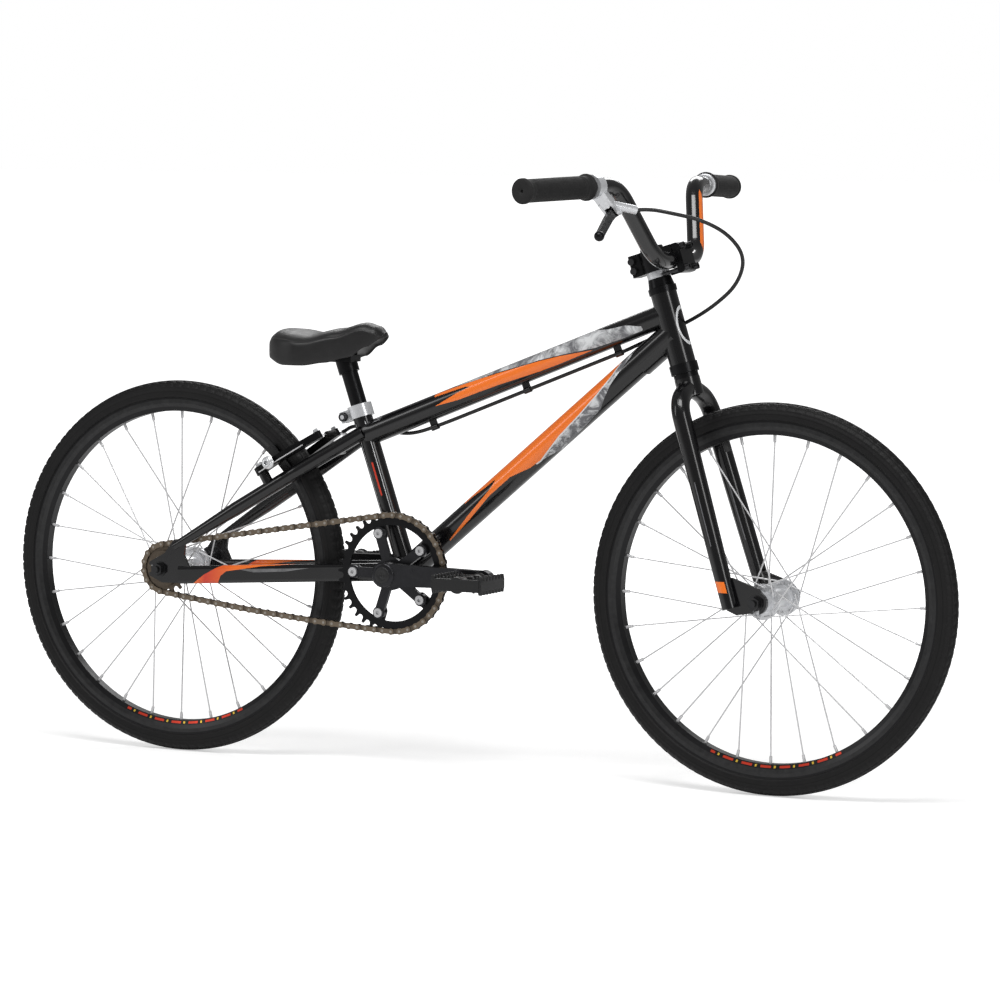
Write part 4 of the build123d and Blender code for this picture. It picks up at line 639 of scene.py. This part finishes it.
def make_tyre(name, centre, body, node):
    section, relief, blocks = 16.25, 1.1, 120
    middle_radius = TYRE_RADIUS / MM - section
    rim_edge = 229.2 - middle_radius
    turns, columns = blocks * 6, 60
    limit = math.acos(rim_edge / section) if abs(rim_edge) < section else 2.2
    tread_edge = math.radians(64)
    profile = [-limit + 2 * limit * k / columns for k in range(columns + 1)]
    vertices = []
    for i in range(turns):
        angle = 2 * math.pi * i / turns
        c, s = math.cos(angle), math.sin(angle)
        for around in profile:
            across = abs(around) / tread_edge
            turn = i / 6 + (0.5 if around > 0 else 0.0)
            raised = tread_relief(turn, across)
            base = section - relief if across < 1.0 else section - relief + min(0.3, (across - 1.0) * 0.6)
            r = base + relief * raised
            radius = middle_radius + r * math.cos(around)
            vertices.append(centre + Vector((radius * c, r * math.sin(around), radius * s)) * MM)
        for side, drop in ((11.2, -1.0), (-11.2, -1.0)):
            vertices.append(centre + Vector(((228.9 + drop) * c, side, (228.9 + drop) * s)) * MM)
    faces = grid_faces(turns, columns + 3, True, True)
    piece = solid(name, vertices, [tuple(reversed(f)) for f in faces], tyre_skin(name + "_skin", centre))
    return finish_piece(piece, body, "tyre_rubber", node)


make_tyre("front_tyre_tread", FRONT_AXLE, "front_wheel", "front_tyre")
make_tyre("rear_tyre_tread", REAR_AXLE, "rear_wheel", "rear_tyre")


# ---------------------------------------------------------------------- grips
def grip_relief(along, turn):
    """Depth in millimetres of the grip's pattern at a share of its length and a share of a turn."""
    if along < 0.08 or along > 0.95:
        return 0.0
    if 0.08 <= along < 0.14:
        return 0.5 if (along * 100) % 2 < 1 else 0.0
    first = (along * 42 + turn * 18) % 1.0
    second = (along * 42 - turn * 18) % 1.0
    return 0.45 if first < 0.30 or second < 0.30 else 0.0


def make_grips():
    vertices, faces = [], []
    joint_height = 248.5
    sweep = math.tan(math.radians(10.0))
    for side in (-1, 1):
        end = steer(29.5 - sweep * 197.0, side * 311.0, joint_height + 5.0)
        corner = steer(29.5, side * 118.0, joint_height)
        out = (end - corner).normalized()
        side_axis = out.orthogonal().normalized()
        up_axis = out.cross(side_axis)
        inner = end - out * 132.0 * MM
        profile = [(0.0, 11.3), (0.0, 16.4), (0.6, 17.0), (2.4, 17.0), (3.0, 16.2), (4.0, 14.6)]
        steps = 170
        profile += [(4.0 + 126.0 * k / steps, None) for k in range(1, steps + 1)]
        profile += [(130.5, 15.4), (131.2, 16.0), (134.6, 16.0), (135.8, 15.0), (136.0, 12.0), (135.6, 8.0),
                    (135.6, 2.2), (134.0, 1.8)]
        segments = 108
        base = len(vertices)
        for along, radius in profile:
            for k in range(segments):
                r = 14.6 - grip_relief((along - 4) / 126, k / segments) if radius is None else radius
                angle = 2 * math.pi * k / segments
                offset = side_axis * math.cos(angle) + up_axis * math.sin(angle)
                vertices.append(inner + (out * along + offset * r) * MM)
        rows = len(profile)
        faces += [tuple(base + q for q in reversed(f)) for f in grid_faces(rows, segments, False, True)]
        faces.append(tuple(base + (rows - 1) * segments + k for k in reversed(range(segments))))
    piece = solid("grip_pair", vertices, faces, grip_skin())
    finish_piece(piece, "steering", "grip_rubber", "grips")


make_grips()


# --------------------------------------------------------------------- saddle
def spread(points, x):
    """A smooth line through (x, height) points."""
    if x <= points[0][0]:
        return points[0][1]
    for (x0, y0), (x1, y1) in zip(points, points[1:]):
        if x <= x1:
            t = (x - x0) / (x1 - x0)
            t = t * t * (3 - 2 * t)
            return y0 + (y1 - y0) * t
    return points[-1][1]


def make_saddle():
    """A lofted cushion: crowned top panel, a ridge along its edge, and a deep skirt."""
    tail_x, tail_r, nose_x, nose_r = 201.0, 58.0, 293.0, 20.0
    crown = [(143, 561), (150, 571), (165, 577.5), (180, 577), (212, 573), (250, 580), (284, 588), (300, 584),
             (313, 573)]
    skirt = [(143, 546), (152, 538), (185, 530), (213, 530), (240, 534), (267, 541), (292, 556), (313, 568)]
    stations = [tail_x - tail_r * math.cos(math.pi / 2 * k / 16) for k in range(17)]
    stations += [tail_x + (nose_x - tail_x) * k / 20 for k in range(1, 21)]
    stations += [nose_x + nose_r * math.sin(math.pi / 2 * k / 12) for k in range(1, 13)]
    section = [(0.0, 0.0), (0.18, 0.3), (0.36, 1.0), (0.54, 2.4), (0.70, 4.6), (0.82, 7.6), (0.885, 10.2),
               (0.91, 11.6), (0.945, 12.2), (0.975, 14.0), (0.995, 18.0), (1.0, 24.0)]
    vertices = []
    count = None
    for x in stations:
        if x < tail_x:
            width = math.sqrt(max(0.0, tail_r ** 2 - (tail_x - x) ** 2))
        elif x > nose_x:
            width = math.sqrt(max(0.0, nose_r ** 2 - (x - nose_x) ** 2))
        else:
            t = (x - tail_x) / (nose_x - tail_x)
            t = t * t * (3 - 2 * t) * 0.45 + t * 0.55
            width = tail_r + (nose_r - tail_r) * t
        width = max(width, 0.5)
        top, low = spread(crown, x), spread(skirt, x)
        depth = top - low
        squeeze = min(1.0, width / 36.0)
        points = [(w * width, top - min(drop * (0.35 + 0.65 * squeeze), depth * 0.55)) for w, drop in section]
        points += [(0.998 * width, low + depth * 0.2), (0.985 * width, low + 2.5), (0.955 * width, low),
                   (0.90 * width, low + 0.8), (0.86 * width, low + 4.0), (0.5 * width, low + 7.0),
                   (0.0, low + 8.0)]
        ring = [(-y, z) for y, z in points] + [(y, z) for y, z in reversed(points[1:-1])]
        count = len(ring)
        vertices += [rear(x, y, z - 251.0) for y, z in ring]
    rows = len(stations)
    faces = grid_faces(rows, count, False, True)
    faces.append(tuple(reversed(range(count))))
    faces.append(tuple(range((rows - 1) * count, rows * count)))
    piece = solid("saddle_pad", vertices, faces, saddle_skin())
    mesh = bmesh.new()
    mesh.from_mesh(piece.data)
    bmesh.ops.recalc_face_normals(mesh, faces=mesh.faces)
    mesh.to_mesh(piece.data)
    mesh.free()
    rounding = piece.modifiers.new("rounding", "SUBSURF")
    rounding.levels = rounding.render_levels = 1
    apply_modifiers(piece)
    piece.data.polygons.foreach_set("use_smooth", [True] * len(piece.data.polygons))
    return finish_piece(piece, "saddle_body", "saddle_cover", "saddle")


make_saddle()

# --------------------------------------------------------------------- cables
BARREL = steer(50.6, -127.0, 210.3)
PIVOT = steer(30.9, -152.0, 213.8)
out = (BARREL - PIVOT).normalized()
front_clip = middle("cable_guides")
guide_lo, guide_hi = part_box("cable_guides")
tube_dir = (rear(719.0, 0, 360.0) - rear(284.7, 0, 188.5)).normalized()


def guide_point(share):
    """The middle of a cable guide under the top tube."""
    start, end = rear(284.7, 0, 188.5), rear(719.0, 0, 360.0)
    return start + (end - start) * share + Vector((tube_dir.z, 0, -tube_dir.x)) * 24.5 * MM


FRONT_CLIP, REAR_CLIP = guide_point(0.82), guide_point(0.21)
FRONT_LOOP = [(771.6, -108.0, 490.1), (803.3, -85.0, 481.8), (828.2, -58.0, 463.9), (839.3, -30.0, 434.7),
              (818.4, -5.0, 399.7), (780.0, 12.0, 371.6), (740.0, 22.0, 349.5), (692.0, 21.0, 328.0),
              (670.0, 12.0, 317.0)]
REAR_LOOP = [(345.0, 8.0, 190.5), (310.0, 20.5, 192.0), (275.0, 24.0, 199.0), (240.0, 38.0, 196.0)]
loop = [BARREL, BARREL + out * 0.018, *(rear(*p) for p in FRONT_LOOP), FRONT_CLIP + tube_dir * 0.012, FRONT_CLIP]
front_housing = smooth_tube("front_housing", loop, 0.0025, housing)
FRONT_CLIP + tube_dir * 0.03
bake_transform(front_housing)
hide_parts("front_cable")


def on_stay(side, along, out_of_stay, across):
    """A point near a brake arm: along the seatstay, out of it, and across from the mid-plane, in millimetres."""
    joint = JOINTS["right_arm_swing" if side < 0 else "left_arm_swing"]
    pivot, normal = Vector(joint["pos_m"]), Vector(joint["axis"]).normalized()
    stay = Vector((normal.z, 0, -normal.x))
    point = pivot + (stay * along + normal * out_of_stay) * MM
    point.y = across * MM
    return point


TIP_ALONG, TIP_OUT = 92.0, 27.0
ARM_TIP_Y = abs(JOINTS["left_arm_swing"]["pos_m"][1]) / MM - 13.0
entry = on_stay(1, TIP_ALONG, TIP_OUT, ARM_TIP_Y + 7.5)
end_run = [FRONT_CLIP, FRONT_CLIP.lerp(REAR_CLIP, 0.33), FRONT_CLIP.lerp(REAR_CLIP, 0.67), REAR_CLIP]
rear_line = [*end_run, *(rear(*p) for p in REAR_LOOP), entry + Vector((0, 0.012, 0)), entry]
rear_housing = smooth_tube("rear_housing", rear_line, 0.0025, housing)
rear(285.0, 24.0, 199.0)
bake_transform(rear_housing)
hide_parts("rear_cable")


def brake_details():
    """Noodle, pleated boot, bare wire, arm bolts, springs and pad bolts."""
    start = entry + Vector((0.002, 0.002, 0.0))
    noodle = [entry + Vector((0, 0.020, -0.004)), entry + Vector((0, 0.010, 0.0)), entry,
              on_stay(1, TIP_ALONG, TIP_OUT, ARM_TIP_Y - 5.0)]
    finish_piece(smooth_tube("brake_noodle", noodle, 0.0030, silver), "left_brake_arm", "silver_alloy")
    pleats = []
    for k in range(25):
        radius = 4.9 - 0.05 * k + (0.5 if k % 2 else 0.0)
        pleats.append((k * 0.9, radius))
    pleats = [(-0.6, 3.2), *pleats, (22.6, 2.2)]
    top = on_stay(1, TIP_ALONG, TIP_OUT, ARM_TIP_Y - 5.0)
    boot = lathe("brake_boot", top, Vector((0, -1, 0)), pleats, boot_rubber, 32)
    finish_piece(boot, "left_brake_arm", "pad_rubber")
    wire_start = on_stay(1, TIP_ALONG, TIP_OUT, ARM_TIP_Y - 21.0)
    wire_end = on_stay(-1, TIP_ALONG, TIP_OUT, -ARM_TIP_Y + 3.0)
    wire = smooth_tube("brake_wire", [wire_start, wire_start.lerp(wire_end, 0.5), wire_end], 0.0008, bright)
    finish_piece(wire, "right_brake_arm", "bright_steel")
    for side, body in ((-1, "right_brake_arm"), (1, "left_brake_arm")):
        joint = JOINTS["right_arm_swing" if side < 0 else "left_arm_swing"]
        pivot, normal = Vector(joint["pos_m"]), Vector(joint["axis"]).normalized()
        name = "right" if side < 0 else "left"
        bolt = lathe(f"pivot_bolt_{name}", pivot, normal,
                     [(32.05, 6.4), (33.2, 6.4), (33.4, 4.6), (36.6, 4.6), (37.2, 4.0), (37.2, 2.3), (35.4, 2.2)],
                     silver)
        finish_piece(bolt, body, "silver_alloy")
        outward = Vector((0, side, 0))
        pad_bolt = lathe(f"pad_bolt_{name}", on_stay(side, 21.5, 27.0, side * (abs(pivot.y) / MM + 16.05)), outward,
                         [(0, 8.6), (1.6, 8.4), (2.6, 7.0), (3.0, 5.6), (6.4, 5.6), (7.0, 4.8), (7.0, 2.8), (4.4, 2.6)],
                         silver)
        finish_piece(pad_bolt, body, "silver_alloy")
        clamp = on_stay(side, TIP_ALONG, TIP_OUT + 5.1, side * ARM_TIP_Y)
        cap = lathe(f"anchor_bolt_{name}", clamp, normal,
                    [(0, 4.6), (1.2, 4.6), (1.4, 3.8), (3.8, 3.8), (4.2, 3.2), (4.2, 1.9), (2.6, 1.8)], silver)
        finish_piece(cap, body, "silver_alloy")
        stay = Vector((normal.z, 0, -normal.x))
        foot = pivot + normal * 24.0 * MM + outward * 10.6 * MM
        spring = [foot, foot + stay * 26 * MM + outward * 1.0 * MM, foot + stay * 52 * MM - outward * 3.0 * MM,
                  foot + stay * 74 * MM - outward * 6.0 * MM]
        wire = smooth_tube(f"return_spring_{name}", spring, 0.0009, bright)
        finish_piece(wire, body, "bright_steel")


brake_details()

# --------------------------------------------------- pedals and small fittings
def add_block(mesh, centre, size, lean=0.0):
    """A box in a bmesh, in millimetres, leaned about the vertical."""
    turn = Matrix.Rotation(lean, 4, "Z")
    bmesh.ops.create_cube(mesh, size=1.0, matrix=Matrix.Translation(centre) @ turn @ Matrix.Diagonal((*size, 1)))


def add_tooth(mesh, centre, size, upwards):
    """A pointed tooth that stands on a rail."""
    half_x, half_y, tall = size[0] / 2, size[1] / 2, size[2] * upwards
    foot = [mesh.verts.new(Vector(centre) + Vector((sx * half_x, sy * half_y, 0)))
            for sx, sy in ((-1, -1), (1, -1), (1, 1), (-1, 1))]
    top = [mesh.verts.new(Vector(centre) + Vector((sx * half_x, sy * half_y * 0.25, tall)))
           for sx, sy in ((-1, -1), (1, -1), (1, 1), (-1, 1))]
    mesh.faces.new(foot)
    mesh.faces.new(top)
    for k in range(4):
        mesh.faces.new((foot[k], foot[(k + 1) % 4], top[(k + 1) % 4], top[k]))


def make_pedal(name, body, node):
    """A moulded platform: barrel, end plates, leaning ribs, and toothed rails front and back."""
    centre = middle(node)
    mesh = bmesh.new()
    for x in (-33.5, 33.5):
        add_block(mesh, (x, 0, 0), (5.0, 68, 13))
        for k in range(8):
            for upwards in (-1, 1):
                add_tooth(mesh, (x, -30.8 + 8.8 * k, upwards * 6.0), (5.0, 5.6, 5.8), upwards)
    for x in (-21.5, 21.5):
        add_block(mesh, (x, 0, 0), (3.2, 62, 13.5))
        for k in range(6):
            for upwards in (-1, 1):
                add_tooth(mesh, (x, -26.0 + 10.4 * k, upwards * 6.4), (3.2, 5.0, 3.6), upwards)
    for y in (-31.5, 31.5):
        add_block(mesh, (0, y, 0), (66, 6.4, 16))
    for y, lean in ((-15, 0.35), (15, -0.35)):
        add_block(mesh, (-21, y, 0), (30, 3.4, 12), lean)
        add_block(mesh, (21, y, 0), (30, 3.4, 12), -lean)
    for y in (-9, 9):
        add_block(mesh, (0, y, 0), (24, 2.4, 19))
    rows = []
    for along, radius in ((-34.2, 10.5), (-30, 11.4), (-27, 9.4), (27, 9.4), (30, 11.4), (34.2, 10.5)):
        rows.append([mesh.verts.new((radius * math.cos(k * math.pi / 12), along, radius * math.sin(k * math.pi / 12)))
                     for k in range(24)])
    for first, second in zip(rows, rows[1:]):
        for k in range(24):
            mesh.faces.new((first[k], first[(k + 1) % 24], second[(k + 1) % 24], second[k]))
    for row in (rows[0], rows[-1]):
        mesh.faces.new(row)
    bmesh.ops.recalc_face_normals(mesh, faces=mesh.faces)
    for vertex in mesh.verts:
        vertex.co = centre + vertex.co * MM
    data = bpy.data.meshes.new(name)
    mesh.to_mesh(data)
    mesh.free()
    data.materials.append(plastic)
    piece = bpy.data.objects.new(name, data)
    bpy.context.scene.collection.objects.link(piece)
    edges = piece.modifiers.new("edges", "BEVEL")
    edges.width, edges.segments, edges.limit_method = 0.0005, 2, "ANGLE"
    apply_modifiers(piece)
    return finish_piece(piece, body, "pedal_plastic", node)


make_pedal("pedal_body_right", "right_pedal", "pedal_right")
make_pedal("pedal_body_left", "left_pedal", "pedal_left")


def small_fittings():
    """Crank boss and dust cap, seat clamp bolt head, and the collar inside the left grip."""
    for side, name in ((-1, "right"), (1, "left")):
        outward = Vector((0, side, 0))
        face = Vector((BB.x, side * 70.0 * MM, BB.z))
        boss = lathe(f"crank_boss_{name}", face, outward,
                     [(-0.2, 16.4), (0.8, 16.2), (2.2, 15.0), (2.9, 13.4), (3.1, 11.0), (2.8, 0.6)], grey_alloy)
        finish_piece(boss, "crank", "grey_crank")
        cap = lathe(f"dust_cap_{name}", face, outward,
                    [(2.9, 10.6), (3.6, 10.4), (4.1, 9.6), (4.2, 4.0), (3.3, 3.4), (3.3, 0.4)], plastic)
        finish_piece(cap, "crank", "pedal_plastic")
    seat_forward = Vector((SEAT_UP.z, 0, -SEAT_UP.x))
    bolt_place = BB + (SEAT_UP * 219.5 - seat_forward * 22.0) * MM
    head = lathe("seat_clamp_bolt_head", bolt_place + Vector((0, -8.3, 0)) * MM, Vector((0, -1, 0)),
                 [(0, 5.9), (5.6, 5.9), (6.4, 5.2), (6.5, 3.0), (3.5, 2.8), (3.5, 0.3)], dark_steel)
    finish_piece(head, "frame", "dark_steel")
    sweep = math.tan(math.radians(10.0))
    end, corner = steer(29.5 - sweep * 197.0, 311.0, 253.5), steer(29.5, 118.0, 248.5)
    out = (end - corner).normalized()
    collar = lathe("left_bar_collar", end - out * 139.5 * MM, out,
                   [(0, 11.12), (0, 14.0), (0.6, 14.6), (6.2, 14.6), (6.8, 14.0), (6.8, 11.12)], silver)
    finish_piece(collar, "steering", "silver_alloy")


small_fittings()

# ----------------------------------------------------------- stage and camera
def emission_floor():
    skin = bpy.data.materials.new("floor_skin")
    skin.use_nodes = True
    shader = skin.node_tree.nodes["Principled BSDF"]
    shader.inputs["Base Color"].default_value = (0.80, 0.80, 0.80, 1)
    shader.inputs["Roughness"].default_value = 0.95
    shader.inputs["Specular IOR Level"].default_value = 0.0
    shader.inputs["Emission Color"].default_value = (1, 1, 1, 1)
    split = skin.node_tree.nodes.new("ShaderNodeSeparateXYZ")
    place = skin.node_tree.nodes.new("ShaderNodeTexCoord").outputs["Object"]
    skin.node_tree.links.new(place, split.inputs[0])
    x, y = (Value(skin.node_tree, socket) for socket in split.outputs[:2])
    away = (x * x + y * y).root().at_most(8.0)
    glow = away.curve([(0.0, NEAR_GLOW), (0.9, NEAR_GLOW), (2.4, 1.1), (8.0, 1.1)], 0.0, 1.2)
    seen = Value(skin.node_tree, skin.node_tree.nodes.new("ShaderNodeLightPath").outputs["Is Camera Ray"])
    strength = glow * seen + (seen.inverse() * BOUNCE_GLOW)
    skin.node_tree.links.new(strength.socket, shader.inputs["Emission Strength"])
    return skin


AMBIENT = 0.20
NEAR_GLOW = 0.46
BOUNCE_GLOW = 0.16


def make_stage():
    size = 60.0
    corners = [(-size, -size, 0), (size, -size, 0), (size, size, 0), (-size, size, 0)]
    floor = solid("floor", corners, [(0, 1, 2, 3)], emission_floor(), smooth=False)
    world = bpy.data.worlds.new("studio")
    bpy.context.scene.world = world
    world.use_nodes = True
    tree = world.node_tree
    background = tree.nodes["Background"]
    seen = tree.nodes.new("ShaderNodeLightPath").outputs["Is Camera Ray"]
    level = Value(tree, seen) * (1.0 - AMBIENT) + AMBIENT
    background.inputs[0].default_value = (1, 1, 1, 1)
    tree.links.new(level.socket, background.inputs[1])


def soft_light(name, position, target, width, height, power):
    data = bpy.data.lights.new(name, "AREA")
    data.shape = "RECTANGLE"
    data.size, data.size_y, data.energy = width, height, power
    light = bpy.data.objects.new(name, data)
    light.location = position
    light.rotation_euler = (Vector(target) - Vector(position)).to_track_quat("-Z", "Y").to_euler()
    bpy.context.scene.collection.objects.link(light)


def make_camera():
    yaw, pitch, roll = math.radians(116.599), math.radians(4.677), math.radians(-0.461)
    forward = Vector((math.cos(yaw) * math.cos(pitch), math.sin(yaw) * math.cos(pitch), -math.sin(pitch)))
    right = Vector((math.sin(yaw), -math.cos(yaw), 0))
    down = forward.cross(right)
    right_rolled = right * math.cos(roll) + down * math.sin(roll)
    down_rolled = down * math.cos(roll) - right * math.sin(roll)
    data = bpy.data.cameras.new("camera")
    data.lens, data.sensor_width = 166.07, 36.0
    data.clip_end = 200.0
    camera = bpy.data.objects.new("camera", data)
    turn = Matrix((right_rolled, -down_rolled, -forward)).transposed()
    camera.matrix_world = Matrix.Translation((2.73505, -5.36971, 0.85225)) @ turn.to_4x4()
    bpy.context.scene.collection.objects.link(camera)
    bpy.context.scene.camera = camera


make_stage()
soft_light("key", (0.4, -1.6, 3.4), (0, 0, 0.4), 2.6, 1.2, 75)
soft_light("side", (3.0, -1.6, 1.5), (0, 0, 0.4), 0.7, 2.0, 22)
soft_light("left_side", (-2.6, -2.2, 1.6), (0, 0, 0.4), 0.6, 1.8, 12)
soft_light("back", (-0.8, 2.6, 2.4), (0, 0, 0.4), 2.4, 1.2, 40)
make_camera()
scene_view = bpy.context.scene.view_settings
scene_view.view_transform = "Standard"
